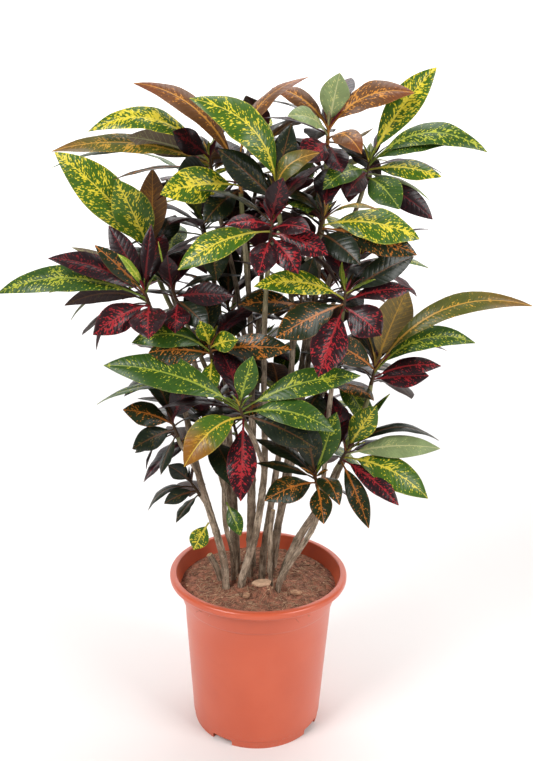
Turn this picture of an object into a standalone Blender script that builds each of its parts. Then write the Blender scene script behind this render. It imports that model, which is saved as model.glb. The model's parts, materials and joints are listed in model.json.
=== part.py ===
"""Potted croton: a bushy, many-stemmed plant in a round nursery pot.

The pot stands on z = 0 with its centre on the Z axis, and the plant's front looks along -Y.
Sizes in the tables below are centimetres unless a name says millimetres; the model is in metres.
"""
import math
from dataclasses import dataclass, field
from enum import Enum

import bmesh
import bpy
from mathutils import Matrix, Vector
from mathutils.bvhtree import BVHTree

CM = 0.01
MM = 0.001
GAP = 0.3 * MM                 # clearance between neighbouring pieces

# Pot
POT_HEIGHT = 218 * MM
LIP_RADIUS = 120 * MM          # outside of the rolled lip
LIP_INNER_RADIUS = 111 * MM
LIP_DEPTH = 10 * MM
LIP_ROUND = 3.5 * MM
WALL_TOP_RADIUS = 100.4 * MM   # outside of the wall just under the shoulder
COLLAR_FOOT_RADIUS = 103 * MM  # outside of the flared collar above the shoulder
COLLAR_TOP_RADIUS = 110 * MM
FOOT_RADIUS = 88 * MM
WALL = 2.0 * MM
SHOULDER_HEIGHT = 178 * MM     # stacking line, where the wall steps out to the collar
SHOULDER_DEPTH = 3 * MM
FOOT_LINE_HEIGHT = 11 * MM
FOOT_INSET = 1.0 * MM
FOOT_WIDTH = 5 * MM
CENTRE_PAD_RADIUS = 52 * MM    # flat disc under the middle, which stands on the ground
GUTTER_HEIGHT = 8 * MM         # raised ring between the centre pad and the foot
TURNED_SEGMENTS = 32
NOTCH_COUNT = 4
NOTCH_TURN = math.radians(-31)
NOTCH_WIDTH = 30 * MM
NOTCH_HEIGHT = 7.5 * MM
DRAIN_HOLES = 8
DRAIN_RADIUS = 4.5 * MM
DRAIN_RING_RADIUS = 66 * MM

# Soil
SOIL_EDGE_HEIGHT = 200 * MM
SOIL_MOUND = 9 * MM
CLOD_PLACE = (9 * MM, -50 * MM)  # a clod that stands out of the soil in front of the stems
CLOD_HEIGHT = 14 * MM
CLOD_SPREAD = 13 * MM

# Shoots and leaves
SHOOT_LENGTH = 26 * MM
SHOOT_BASE_RADIUS = 2.4 * MM
SHOOT_TIP_RADIUS = 1.5 * MM
SHOOT_SIDES = 5
STEM_SIDES = 7
BRANCH_SIDES = 6
STEM_STEP = 45 * MM
PETIOLE_HALF = 1.1 * MM
PETIOLE_SHARE = 0.13            # of the leaf's length
BLADE_THICKNESS = 1.2 * MM
FOLD_ANGLE = math.radians(3)
BLADE_STATIONS = ((0.33, 0.68), (0.57, 0.96), (0.80, 0.68))
GOLDEN_ANGLE = math.radians(137.5)

# Settling: how far leaves keep from each other, and how far they may be nudged to do so
SETTLE_THICKNESS = 2.6 * MM
SETTLE_STEPS = (0, 5, -5, 10, -10, 16, -16, 23, -23, 31, -31)
SHORTER = (1.0, 0.85, 0.7, 0.55)
OWN_CROWN_SHARE = 0.38          # inner part of a leaf that may touch its own crown's leaves


class Paint(Enum):
    """Leaf colours as red, green, blue and roughness."""

    GREEN = (0.06, 0.19, 0.02, 0.3)
    YELLOW = (0.23, 0.30, 0.02, 0.3)
    OLIVE = (0.15, 0.15, 0.03, 0.35)
    BRONZE = (0.16, 0.09, 0.02, 0.35)
    PALE = (0.28, 0.33, 0.20, 0.4)
    LIME = (0.30, 0.42, 0.06, 0.35)
    DARK = (0.02, 0.03, 0.015, 0.25)
    SPECKLED = (0.06, 0.06, 0.015, 0.25)
    MAROON = (0.06, 0.012, 0.016, 0.28)
    RED = (0.20, 0.012, 0.018, 0.28)


class Face(Enum):
    """The way the upper side of a leaf looks."""

    AUTO = None
    UP = (0.0, -0.25, 1.0)
    FRONT_UP = (0.0, -0.75, 0.65)
    FRONT = (0.0, -1.0, 0.25)
    BACK = (0.0, 1.0, 0.3)
    BACK_UP = (0.0, 0.6, 0.8)
    LEFT = (-0.8, -0.55, 0.4)
    RIGHT = (0.8, -0.55, 0.4)


@dataclass
class Leaf:
    """One leaf: where its tip is, its width, how much it arches and how it looks."""

    paint: Paint
    tip: tuple
    width: float
    bow: float = 0.12
    face: Face = Face.AUTO


@dataclass
class Crown:
    """A shoot tip with its whorl of leaves, plus a number of plain spiral leaves."""

    name: str
    tip: tuple
    leaves: list = field(default_factory=list)
    fill: int = 0
    arc: tuple = (0, 360)
    fill_paints: tuple = (Paint.DARK, Paint.MAROON)
    fill_length: float = 11.0


@dataclass
class Stem:
    """A woody stem: a path, its thickness at both ends in mm, the crown it ends in, side branches."""

    name: str
    path: list
    thick: tuple
    crown: str = ""
    branches: list = field(default_factory=list)


@dataclass
class Branch:
    """A side branch that leaves its stem at one of the points of the stem's path."""

    at: int
    path: list
    thick: tuple
    crown: str


G, Y, O, B, P = Paint.GREEN, Paint.YELLOW, Paint.OLIVE, Paint.BRONZE, Paint.PALE
L, D, S, M, R = Paint.LIME, Paint.DARK, Paint.SPECKLED, Paint.MAROON, Paint.RED
REAR = (15, 165)

CROWNS = [
    Crown("crown_left_low", (-13.4, -9, 61), [
        Leaf(G, (-30.2, -9, 60.2), 3.8, 0.2, Face.FRONT_UP),
        Leaf(M, (-23.6, -11, 64.5), 3.2, 0.16, Face.FRONT_UP),
        Leaf(R, (-18.5, -13, 56.4), 3.6, 0.12, Face.FRONT),
        Leaf(D, (-22.8, -8, 58.8), 2.4, 0.2, Face.BACK),
        Leaf(G, (-25.6, -4, 59.7), 2.6, 0.15, Face.BACK_UP),
        Leaf(G, (-23.4, -3, 56.2), 2.4, 0.25, Face.UP),
        Leaf(D, (-22.8, -6, 61.8), 1.8, 0.1, Face.UP),
        Leaf(R, (-12.2, -14.5, 56.4), 4.4, 0.15, Face.FRONT),
        Leaf(M, (-20.2, -4, 52.8), 2.6, 0.3, Face.UP),
        Leaf(M, (-17.6, -7, 67.9), 2.8, 0.05, Face.FRONT),
        Leaf(P, (-22.6, -4, 65.1), 1.6, 0.1, Face.BACK),
        Leaf(S, (-18.4, -11, 66.0), 2.2, 0.06, Face.FRONT),
        Leaf(L, (-15.9, -11, 65.1), 1.4, 0.1, Face.RIGHT),
        Leaf(M, (-12.6, -8, 68.2), 1.7, 0.05, Face.FRONT),
    ], 2, REAR),
    Crown("crown_left_inner", (-10.6, -7, 61), [
        Leaf(M, (-10.6, -10, 64.9), 2.4, 0.1, Face.FRONT),
        Leaf(M, (-3.2, -11, 60.6), 2.8, 0.08, Face.FRONT),
        Leaf(R, (-9.6, -12, 56.6), 3.4, 0.15, Face.FRONT),
        Leaf(L, (-11.6, -10, 66.4), 1.2, 0.05, Face.LEFT),
        Leaf(D, (-6.0, -11, 57.0), 3.0, 0.1, Face.FRONT),
    ], 5, REAR),
    Crown("crown_left_mid", (-13.4, -3, 64.5), [
        Leaf(Y, (-23.9, -5, 75.9), 5.2, 0.16, Face.FRONT),
        Leaf(Y, (-16.6, -7, 73.0), 4.8, 0.05, Face.FRONT),
        Leaf(B, (-12.9, -4, 74.3), 3.6, 0.04, Face.BACK),
    ], 6, REAR),
    Crown("crown_left_high", (-6.5, -3, 76), [
        Leaf(Y, (-20.0, -5, 78.2), 3.6, 0.33, Face.FRONT_UP),
        Leaf(O, (-24.5, -4, 76.0), 3.0, 0.14, Face.FRONT_UP),
        Leaf(G, (-24.6, -5, 74.2), 2.8, 0.16, Face.UP),
        Leaf(P, (-15.7, -5, 77.7), 3.2, 0.1, Face.BACK),
        Leaf(S, (-17.3, -5, 73.0), 1.8, 0.1, Face.UP),
        Leaf(M, (-10.5, -6, 78.3), 3.0, 0.05, Face.FRONT),
        Leaf(D, (-9.5, -8, 74.0), 3.0, 0.1, Face.FRONT),
    ], 4, REAR),
    Crown("crown_top_left", (-2.8, -6, 74.2), [
        Leaf(Y, (-11.4, -9, 71.5), 4.4, 0.12, Face.FRONT),
        Leaf(B, (4.7, -5, 84.4), 3.2, 0.28, Face.LEFT),
        Leaf(B, (-15.0, -3.5, 83.6), 2.9, 0.26, Face.FRONT_UP),
        Leaf(D, (-6.5, -10, 68.5), 3.2, 0.15, Face.FRONT),
    ], 5, REAR),
    Crown("crown_top_mid", (1.3, -7, 72), [
        Leaf(Y, (-8.1, -9, 81.6), 4.9, 0.33, Face.FRONT_UP),
        Leaf(O, (6.0, -9, 76.2), 2.8, 0.35, Face.FRONT_UP),
        Leaf(D, (-5.0, -9.5, 76.4), 3.4, 0.05, Face.FRONT),
        Leaf(D, (3.2, -9, 79.0), 3.0, 0.08, Face.FRONT),
    ], 4, REAR),
    Crown("crown_top_right_inner", (7.3, -3, 79.5), [
        Leaf(P, (8.3, -4, 85.0), 3.6, 0.05, Face.FRONT),
        Leaf(B, (16.2, -5, 83.8), 4.0, 0.26, Face.FRONT_UP),
        Leaf(P, (2.5, -7, 80.1), 3.2, 0.2, Face.FRONT_UP),
        Leaf(B, (0.7, -1, 83.6), 2.6, 0.2, Face.FRONT_UP),
        Leaf(B, (10.7, -8, 76.2), 3.2, 0.3, Face.FRONT_UP),
        Leaf(R, (4.2, -8, 75.2), 3.6, 0.12, Face.FRONT),
        Leaf(M, (8.2, -8, 74.2), 3.0, 0.12, Face.FRONT),
        Leaf(M, (-0.4, 1, 80.4), 1.8, 0.1, Face.UP),
    ], 4, REAR),
    Crown("crown_right_high", (12.4, -2, 75.8), [
        Leaf(Y, (19.5, -2, 86.0), 3.8, 0.14, Face.FRONT),
        Leaf(G, (25.3, -5, 76.7), 3.6, 0.32, Face.FRONT_UP),
        Leaf(G, (20.2, -6, 77.4), 2.8, 0.18, Face.FRONT_UP),
        Leaf(M, (21.4, 0, 74.3), 2.0, 0.18, Face.UP),
        Leaf(Y, (20.5, -4, 73.9), 3.2, 0.12, Face.FRONT_UP),
        Leaf(G, (15.2, -8, 70.3), 4.0, 0.15, Face.FRONT),
        Leaf(P, (19.7, -2, 71.2), 1.8, 0.15, Face.UP),
        Leaf(M, (20.0, -3, 69.0), 3.0, 0.12, Face.FRONT),
        Leaf(G, (6.6, -8, 72.3), 3.2, 0.18, Face.FRONT_UP),
        Leaf(M, (9.2, -8, 71.6), 2.8, 0.12, Face.FRONT),
    ], 4, REAR),
    Crown("crown_centre_right", (6.8, -9, 69.6), [
        Leaf(Y, (17.3, -10, 67.2), 5.0, 0.16, Face.FRONT_UP),
        Leaf(S, (16.8, -11.5, 65.4), 3.6, 0.1, Face.FRONT),
        Leaf(O, (12.5, -11, 70.3), 2.0, 0.25, Face.UP),
        Leaf(D, (10.5, -13, 64.6), 3.2, 0.12, Face.FRONT),
    ], 4, REAR),
    Crown("crown_right_inner", (9.5, -9, 61.3), [
        Leaf(Y, (-0.9, -12, 61.9), 3.4, 0.18, Face.FRONT_UP),
        Leaf(S, (1.6, -13, 56.4), 4.2, 0.08, Face.FRONT),
        Leaf(R, (6.4, -13.5, 52.2), 4.4, 0.1, Face.FRONT),
        Leaf(D, (17.5, -6, 64.9), 3.2, 0.1, Face.FRONT),
        Leaf(D, (16.2, -7, 63.2), 2.4, 0.12, Face.UP),
        Leaf(R, (17.5, -6.5, 61.2), 2.6, 0.1, Face.FRONT_UP),
        Leaf(L, (8.8, -10, 64.5), 1.2, 0.08, Face.LEFT),
        Leaf(L, (12.6, -10, 62.7), 1.4, 0.08, Face.UP),
        Leaf(R, (13.4, -11.5, 56.6), 4.4, 0.1, Face.FRONT),
    ], 4, REAR),
    Crown("crown_centre", (1.0, -11, 69.2), [
        Leaf(Y, (-9.1, -13, 63.7), 4.0, 0.16, Face.FRONT_UP),
        Leaf(R, (-0.4, -15, 63.4), 3.2, 0.15, Face.FRONT),
        Leaf(R, (3.2, -14.5, 63.6), 3.0, 0.15, Face.FRONT),
        Leaf(R, (-3.9, -14, 68.6), 2.2, 0.12, Face.FRONT_UP),
        Leaf(R, (5.0, -14, 68.2), 2.8, 0.15, Face.FRONT_UP),
        Leaf(R, (7.0, -13.5, 65.6), 3.0, 0.12, Face.FRONT),
        Leaf(M, (2.0, -14, 73.5), 2.6, 0.1, Face.FRONT),
    ], 4, REAR),
    Crown("crown_right_mid", (14, -4, 51.5), [
        Leaf(O, (17.2, -4.5, 61.0), 5.0, 0.04, Face.BACK),
        Leaf(O, (8.4, -9, 59.6), 1.4, 0.2, Face.UP),
        Leaf(O, (32.2, -5, 59.2), 3.0, 0.34, Face.FRONT_UP),
        Leaf(G, (26.0, -4, 54.4), 3.2, 0.34, Face.FRONT_UP),
        Leaf(M, (23.0, -2, 53.0), 2.2, 0.34, Face.UP),
        Leaf(R, (21.8, -5, 51.7), 2.6, 0.16, Face.FRONT_UP),
        Leaf(R, (20.2, -6, 50.4), 3.0, 0.06, Face.FRONT),
        Leaf(S, (7.5, -9, 55.4), 3.4, 0.08, Face.FRONT),
    ], 5, REAR),
    Crown("crown_low_centre", (-2.4, -12, 48.4), [
        Leaf(G, (-17.9, -11, 52.5), 4.6, 0.16, Face.FRONT_UP),
        Leaf(G, (-19.5, -8, 47.0), 2.4, 0.22, Face.UP),
        Leaf(Y, (-8.3, -16, 42.3), 4.2, 0.3, Face.FRONT_UP),
        Leaf(G, (11.4, -11, 51.8), 3.6, 0.14, Face.FRONT_UP),
        Leaf(G, (-0.9, -13, 54.3), 2.8, 0.08, Face.FRONT),
        Leaf(G, (8.4, -14, 46.0), 3.6, 0.22, Face.FRONT_UP),
        Leaf(R, (-2.0, -16, 38.3), 3.6, 0.12, Face.FRONT),
        Leaf(D, (6.2, -13, 43.8), 3.8, 0.14, Face.FRONT),
    ], 4, REAR),
    Crown("crown_mid_left", (-6, -9, 55), [
        Leaf(S, (-12.9, -11, 54.2), 4.4, 0.1, Face.FRONT_UP),
        Leaf(G, (-15.0, -9, 54.1), 3.6, 0.3, Face.FRONT_UP),
        Leaf(Y, (-7.4, -12, 58.0), 2.2, 0.05, Face.FRONT),
        Leaf(Y, (-2.6, -12, 55.9), 2.6, 0.1, Face.FRONT),
        Leaf(Y, (-5.8, -12, 49.4), 2.4, 0.12, Face.FRONT),
        Leaf(S, (3.4, -11, 54.7), 3.2, 0.1, Face.FRONT),
    ], 5, REAR),
    Crown("crown_mid_centre", (4.6, -6, 60.4), [
        Leaf(S, (-2.2, -9, 59.2), 3.0, 0.1, Face.FRONT),
        Leaf(D, (3.0, -10, 65.6), 3.0, 0.05, Face.FRONT),
        Leaf(D, (6.0, -10, 65.0), 2.6, 0.05, Face.FRONT),
    ], 5, (0, 180)),
    Crown("crown_low_right_front", (6.6, -10, 39.3), [
        Leaf(S, (0.7, -15, 38.0), 3.6, 0.12, Face.FRONT_UP),
        Leaf(D, (-0.4, -9.5, 40.5), 2.2, 0.12, Face.UP),
        Leaf(D, (5.2, -9.5, 46.0), 3.2, 0.05, Face.FRONT),
        Leaf(G, (9.0, -9, 46.8), 3.2, 0.05, Face.FRONT),
        Leaf(S, (9.0, -17, 38.5), 2.8, 0.25, Face.UP),
        Leaf(S, (7.6, -13.5, 34.6), 2.8, 0.12, Face.FRONT),
    ], 4, REAR),
    Crown("crown_low_right", (10.8, -6, 41.3), [
        Leaf(Y, (20.7, -8, 35.7), 4.4, 0.2, Face.FRONT_UP),
        Leaf(P, (22.2, -6, 41.5), 3.2, 0.12, Face.FRONT_UP),
        Leaf(D, (22.4, -4, 41.9), 2.2, 0.3, Face.UP),
        Leaf(R, (16.8, -10, 35.6), 2.8, 0.12, Face.FRONT_UP),
        Leaf(S, (13.2, -11, 33.0), 2.6, 0.12, Face.FRONT),
        Leaf(Y, (13.8, -8, 47.4), 3.4, 0.05, Face.FRONT),
        Leaf(G, (13.4, -5, 32.0), 1.4, 0.1, Face.UP),
        Leaf(G, (15.6, -6, 48.4), 1.6, 0.08, Face.UP),
    ], 4, REAR),
    Crown("crown_low_left", (-10.8, -6.5, 44.8), [
        Leaf(S, (-16.4, -8, 46.4), 3.4, 0.12, Face.FRONT_UP),
        Leaf(D, (-15.2, -9, 41.8), 3.0, 0.12, Face.FRONT),
        Leaf(D, (-15.6, -5, 39.9), 2.4, 0.15, Face.LEFT),
        Leaf(D, (-11.9, -9, 38.6), 2.6, 0.1, Face.LEFT),
        Leaf(D, (-14.6, -3, 37.0), 1.8, 0.2, Face.UP),
        Leaf(M, (-8.0, -8, 50.0), 3.2, 0.08, Face.FRONT),
    ], 5, REAR),
    Crown("crown_base_left", (-9.2, -1.4, 35), [
        Leaf(D, (-14.6, -2, 30.9), 2.0, 0.3, Face.UP),
        Leaf(D, (-12.4, -2.5, 32.2), 2.0, 0.2, Face.FRONT),
        Leaf(D, (-10.6, -5.0, 30.6), 2.4, 0.1, Face.LEFT),
        Leaf(D, (-11.8, -2.5, 37.4), 2.4, 0.1, Face.FRONT),
    ], 1, REAR),
    Crown("crown_inner_left_high", (-7.6, 1.8, 68), fill=12, fill_paints=(D, M, G, M)),
    Crown("crown_inner_top", (3.4, 1.2, 72), fill=12, fill_paints=(M, D, R, G)),
    Crown("crown_inner_top_left", (-2.0, 1.8, 67), fill=11, fill_paints=(M, R, D, D)),
    Crown("crown_inner_left", (-4.6, 1.6, 58), fill=12, fill_paints=(D, S, M, G)),
    Crown("crown_inner_right", (8.6, 1.4, 61), fill=12, fill_paints=(M, D, S, R)),
    Crown("crown_inner_left_low", (-7.2, -0.8, 43), fill=11, fill_paints=(D, S, M, D)),
    Crown("crown_inner_mid_low", (2.2, 1.4, 47), fill=12, fill_paints=(D, S, G, M)),
    Crown("crown_inner_right_low", (8.6, 1.0, 48.5), fill=11, fill_paints=(S, D, M, D)),
    Crown("crown_back_left_low", (-11, 7, 50), fill=8, fill_paints=(G, D, M, S)),
    Crown("crown_back_left_mid", (-13, 8, 62), fill=8, fill_paints=(M, R, G, D)),
    Crown("crown_back_left_high", (-9, 7, 73), fill=8, fill_paints=(Y, G, B, M)),
    Crown("crown_back_top", (0, 6, 78), fill=8, fill_paints=(G, B, Y, M), fill_length=9.5),
    Crown("crown_back_right_high", (8, 8, 74), fill=8, fill_paints=(Y, G, M, O)),
    Crown("crown_back_right_mid", (13, 7, 64), fill=8, fill_paints=(R, M, Y, D)),
    Crown("crown_back_right_low", (11, 7, 49), fill=8, fill_paints=(G, D, R, S)),
    Crown("crown_back_mid", (0, 12, 66), fill=8, fill_paints=(R, Y, M, G)),
    Crown("crown_back_mid_low", (0, 10, 52), fill=8, fill_paints=(S, G, M, D)),
    Crown("crown_back_base_left", (-4, 9, 40), fill=6, fill_paints=(D, G, M)),
    Crown("crown_back_base_right", (6, 8, 40), fill=6, fill_paints=(G, S, R)),
]

STEMS = [
    Stem("stem_left_front", [(-4.2, -3, 16.5), (-4.3, -3, 21), (-4.6, -3, 24.5), (-5.6, -3, 28.5),
                             (-6.6, -3.1, 32), (-7.7, -3.2, 36), (-8.7, -3.6, 41),
                             (-9.6, -4.2, 46), (-12, -7, 55)], (11, 5.5), "crown_left_low",
         [Branch(4, [], (6, 5), "crown_base_left"),
          Branch(5, [(-8.8, -4.4, 39), (-9.9, -5.5, 41.4)], (6, 5), "crown_low_left")]),
    Stem("stem_left_thin", [(-3.5, -1.4, 16.5), (-3.4, -1.5, 24), (-4.4, -2, 29), (-4.6, -2.2, 34),
                            (-4.6, -2.4, 41), (-6, -3, 48), (-8.5, -4.8, 55)], (7.5, 5),
         "crown_left_inner",
         [Branch(3, [], (5.5, 5), "crown_inner_left_low"),
          Branch(4, [(-5, -5, 47), (-5.6, -7.6, 51.2)], (6, 5), "crown_mid_left")]),
    Stem("stem_left_back", [(-2.9, 0.8, 16.5), (-3.2, 1, 24), (-4.5, 1.4, 34), (-5.6, 1.3, 39),
                            (-7.5, 1, 46), (-9.2, 0.4, 52), (-12.2, -1.8, 60)], (10, 5.5),
         "crown_left_mid",
         [Branch(3, [(-8, 4, 44), (-9.8, 6, 46.6)], (6, 5), "crown_back_left_low"),
          Branch(5, [(-10.8, 3.6, 55.6), (-12.2, 6.4, 58.4)], (6, 5), "crown_back_left_mid")]),
    Stem("stem_front", [(-2.3, -2.8, 16.5), (-2.2, -2.9, 21), (-1.4, -3, 24.5), (-0.5, -3.2, 28),
                        (0.1, -3.4, 32), (0.6, -3.6, 37.5), (0.5, -4.6, 44), (0.3, -6.2, 52),
                        (0.4, -8.6, 60), (0.8, -10.4, 66)], (11, 5), "crown_centre",
         [Branch(5, [(-0.5, -7, 42), (-1.7, -10.4, 45.6)], (6.5, 5), "crown_low_centre")]),
    Stem("stem_centre", [(-1.2, -0.2, 16.5), (-1.2, -0.3, 24), (-1.2, -0.5, 34), (-1.2, -0.6, 47),
                         (-1.6, -1.5, 58), (-2.4, -4.2, 68)], (10, 5.5), "crown_top_left",
         [Branch(3, [(-3.2, -0.8, 60), (-5.4, -1.8, 69.5)], (6.5, 5.5), "crown_left_high"),
          Branch(3, [(-2.4, 0.9, 52)], (5.5, 5), "crown_inner_left"),
          Branch(4, [], (5.5, 5), "crown_inner_top_left")]),
    Stem("stem_mid", [(0.4, -1.5, 16.5), (0.6, -1.6, 24), (1.4, -1.8, 31), (2.3, -2, 38),
                      (3.4, -2.6, 47), (3.8, -3, 53), (3.4, -4, 60), (2.2, -6, 67)], (10, 5.5),
         "crown_top_mid",
         [Branch(3, [], (5.5, 5), "crown_inner_mid_low"),
          Branch(5, [(4.6, -4.6, 57)], (5.5, 5), "crown_mid_centre"),
          Branch(6, [(4.8, -5.8, 63.6), (5.9, -7.5, 66)], (6, 5), "crown_centre_right")]),
    Stem("stem_snapped", [(1.9, -2.6, 16.5), (1.6, -2.8, 24), (1.5, -3, 28), (1.8, -3.1, 31.7)],
         (7, 5.5)),
    Stem("stem_right_back", [(1.5, 0.5, 16.5), (1.9, 0.5, 24), (3.1, 0.5, 31), (4.2, 0.4, 38),
                             (5.8, -0.2, 50), (6.2, -0.5, 55), (6.9, -1.4, 65), (7.2, -2.4, 74)],
         (11, 5.5), "crown_top_right_inner",
         [Branch(3, [(6.2, 0.8, 42)], (5.5, 5), "crown_inner_right_low"),
          Branch(4, [], (5.5, 5), "crown_inner_right"),
          Branch(5, [(9, -0.8, 64), (11.4, -1.5, 71)], (6.5, 5.5), "crown_right_high"),
          Branch(5, [(4.8, 1.2, 62)], (5.5, 5), "crown_inner_top")]),
    Stem("stem_right", [(2.9, -1, 16.5), (3.3, -1.2, 21.5), (5, -1.8, 26.6), (7.2, -2.5, 31),
                        (8.2, -2.8, 33.2), (9.6, -3.2, 36.4), (11.6, -3.7, 41.5), (13.2, -4, 47)],
         (12, 5.5), "crown_right_mid",
         [Branch(4, [(9.4, -4.6, 37.6)], (6, 5), "crown_low_right")]),
    Stem("stem_right_front", [(2.0, -4, 16.5), (2.8, -4.1, 21.8), (4, -4.2, 24.5),
                              (5.8, -4.5, 27.7), (7.2, -4.9, 30.8), (7.8, -6, 34)], (9, 5),
         "crown_low_right_front",
         [Branch(4, [(8.0, -5.2, 37), (8.4, -5.2, 46), (9, -7.2, 55)], (6.5, 5),
                 "crown_right_inner")]),
    Stem("stem_back_mid", [(-0.8, 2.2, 16.5), (-0.9, 2.8, 25), (-1, 3.4, 31), (-1, 4.4, 41),
                           (-0.6, 6.4, 53), (-0.2, 10, 61)], (10, 5.5), "crown_back_mid",
         [Branch(2, [(-2.6, 6.4, 35.6)], (6, 5), "crown_back_base_left"),
          Branch(3, [(-0.4, 8.2, 47)], (6, 5), "crown_back_mid_low")]),
    Stem("stem_back_left", [(-2.8, 2.9, 16.5), (-3.5, 3.2, 30), (-4.6, 3.7, 44), (-5, 4, 50),
                            (-6, 4.8, 58), (-8.2, 6.3, 68)], (10, 5.5), "crown_back_left_high",
         [Branch(3, [(-3, 4.6, 62), (-1, 5.5, 72.5)], (6, 5), "crown_back_top"),
          Branch(4, [], (5.5, 5), "crown_inner_left_high")]),
    Stem("stem_back_right", [(1.6, 2.7, 16.5), (2.5, 3, 25), (3.1, 3.2, 31), (3.9, 3.6, 38),
                             (5.5, 4.6, 51), (7.2, 6.6, 66)], (10, 5.5), "crown_back_right_high",
         [Branch(2, [(4.9, 6, 36)], (6, 5), "crown_back_base_right"),
          Branch(3, [(8, 5.4, 44.4)], (6, 5), "crown_back_right_low"),
          Branch(4, [(9.6, 5.6, 58)], (6, 5), "crown_back_right_mid")]),
]

# Small pieces: a leaf straight off a stem, a sawn side shoot and chips of bark on the soil
LONE_LEAVES = (
    ("leaf_stem_left", "stem_left_front", 29.8, Leaf(Y, (-8.5, -3.4, 26.0), 2.7, 0.1, Face.FRONT)),
    ("leaf_stem_thin", "stem_left_thin", 32.4, Leaf(G, (-2.3, -5.2, 29.0), 2.2, 0.12, Face.FRONT)),
)
LONE_LEAF_STANDOFF = 1.2 * MM
SAWN_SHOOT = Stem("stem_sawn_off", [(-4.6, -0.8, 18.0), (-5.4, -1.0, 21.6), (-6.6, -1.2, 24.3)],
                  (9, 8))
CHIPS = (
    ("bark_chip_large", (0.5, -4.8), (2.7, 1.7, 0.5), 12),
    ("bark_chip_small", (-1.5, -5.4), (1.1, 0.9, 0.5), 50),
    ("bark_curl", (5.0, -4.4), (1.7, 0.8, 0.45), -15),
)
CHIP_SINK = 0.1 * MM            # a chip settles this far into the hollows between the lumps
CHIP_SPOTS = (-0.5, -0.3, -0.1, 0.1, 0.3, 0.5)  # shares of its size where the soil is felt

FINISHES = {
    "pot": (0.60, 0.10, 0.05, 0.42),
    "soil": (0.11, 0.055, 0.035, 0.95),
    "bark": (0.27, 0.20, 0.13, 0.85),
    "chip": (0.50, 0.28, 0.16, 0.8),
}


def clear_scene():
    """Remove every object, so the file holds only the plant."""
    for thing in list(bpy.data.objects):
        bpy.data.objects.remove(thing, do_unlink=True)


def material(name, finish):
    """A Principled material of one colour and roughness."""
    mat = bpy.data.materials.new(name)
    mat.use_nodes = True
    shader = mat.node_tree.nodes["Principled BSDF"]
    red, green, blue, roughness = finish
    shader.inputs["Base Color"].default_value = (red, green, blue, 1)
    shader.inputs["Roughness"].default_value = roughness
    shader.inputs["Metallic"].default_value = 0
    mat.diffuse_color = (red, green, blue, 1)
    return mat


def new_object(name, bm, finish, smooth_angle=40):
    """Turn a closed bmesh into a named object with its own material."""
    bmesh.ops.recalc_face_normals(bm, faces=bm.faces)
    mesh = bpy.data.meshes.new(name)
    bm.to_mesh(mesh)
    bm.free()
    mesh.shade_smooth()
    mesh.set_sharp_from_angle(angle=math.radians(smooth_angle))
    obj = bpy.data.objects.new(name, mesh)
    bpy.context.scene.collection.objects.link(obj)
    mesh.materials.append(material(name, finish))
    return obj


def guide(obj):
    """Mark an object as a construction guide, not a piece."""
    obj.hide_render = True
    obj.display_type = "WIRE"
    return obj


def boolean(obj, operation, others, name, folded=False):
    """Join or cut an object with a group of guides, with the exact solver."""
    group = bpy.data.collections.new(name)
    bpy.context.scene.collection.children.link(group)
    for other in others:
        bpy.context.scene.collection.objects.unlink(other)
        group.objects.link(guide(other))
    mod = obj.modifiers.new(name, "BOOLEAN")
    mod.operation = operation
    mod.operand_type = "COLLECTION"
    mod.collection = group
    mod.solver = "EXACT"
    mod.use_self = folded


def point(values):
    """A point of the tables, in metres."""
    return Vector(values) * CM


def smooth_path(points, step):
    """Points about a step apart on a Catmull-Rom curve through the given ones."""
    ends = [points[0] * 2 - points[1]] + points + [points[-1] * 2 - points[-2]]
    path = [points[0].copy()]
    for i in range(1, len(ends) - 2):
        a, b, c, d = ends[i - 1:i + 3]
        count = max(1, round((c - b).length / step))
        for k in range(1, count + 1):
            t = k / count
            path.append(0.5 * (2 * b + (c - a) * t + (2 * a - 5 * b + 4 * c - d) * t * t
                               + (3 * b - a - 3 * c + d) * t ** 3))
    return path


def tube(path, radii, sides):
    """A closed tube along a path, with a radius at each point."""
    bm = bmesh.new()
    rings = []
    side = Vector((1, 0, 0))
    for i, centre in enumerate(path):
        along = (path[min(i + 1, len(path) - 1)] - path[max(i - 1, 0)]).normalized()
        side = (side - along * side.dot(along)).normalized()
        across = along.cross(side)
        ring = []
        for k in range(sides):
            turn = math.tau * k / sides
            offset = side * math.cos(turn) + across * math.sin(turn)
            ring.append(bm.verts.new(centre + offset * radii[i]))
        rings.append(ring)
    for low, high in zip(rings, rings[1:]):
        for k in range(sides):
            bm.faces.new((low[k], low[(k + 1) % sides], high[(k + 1) % sides], high[k]))
    bm.faces.new(rings[0][::-1])
    bm.faces.new(rings[-1])
    return bm


def taper(path, start, end):
    """Radii that fall evenly along a path."""
    last = len(path) - 1
    return [start + (end - start) * i / last for i in range(len(path))]


# Pot and soil ---------------------------------------------------------------------------------

def wall_radius(height):
    """Outer radius at a height: a tapering wall, then the flared collar above the shoulder."""
    if height <= SHOULDER_HEIGHT:
        return FOOT_RADIUS + (WALL_TOP_RADIUS - FOOT_RADIUS) * height / SHOULDER_HEIGHT
    foot = SHOULDER_HEIGHT + SHOULDER_DEPTH
    rise = (height - foot) / (POT_HEIGHT - LIP_DEPTH - foot)
    return COLLAR_FOOT_RADIUS + (COLLAR_TOP_RADIUS - COLLAR_FOOT_RADIUS) * rise


def rounded(centre_r, centre_z, radius, start, end, count):
    """Points of an arc in the profile, from one angle to another in degrees."""
    angles = [math.radians(start + (end - start) * i / count) for i in range(count + 1)]
    return [(centre_r + radius * math.cos(a), centre_z + radius * math.sin(a)) for a in angles]


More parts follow.
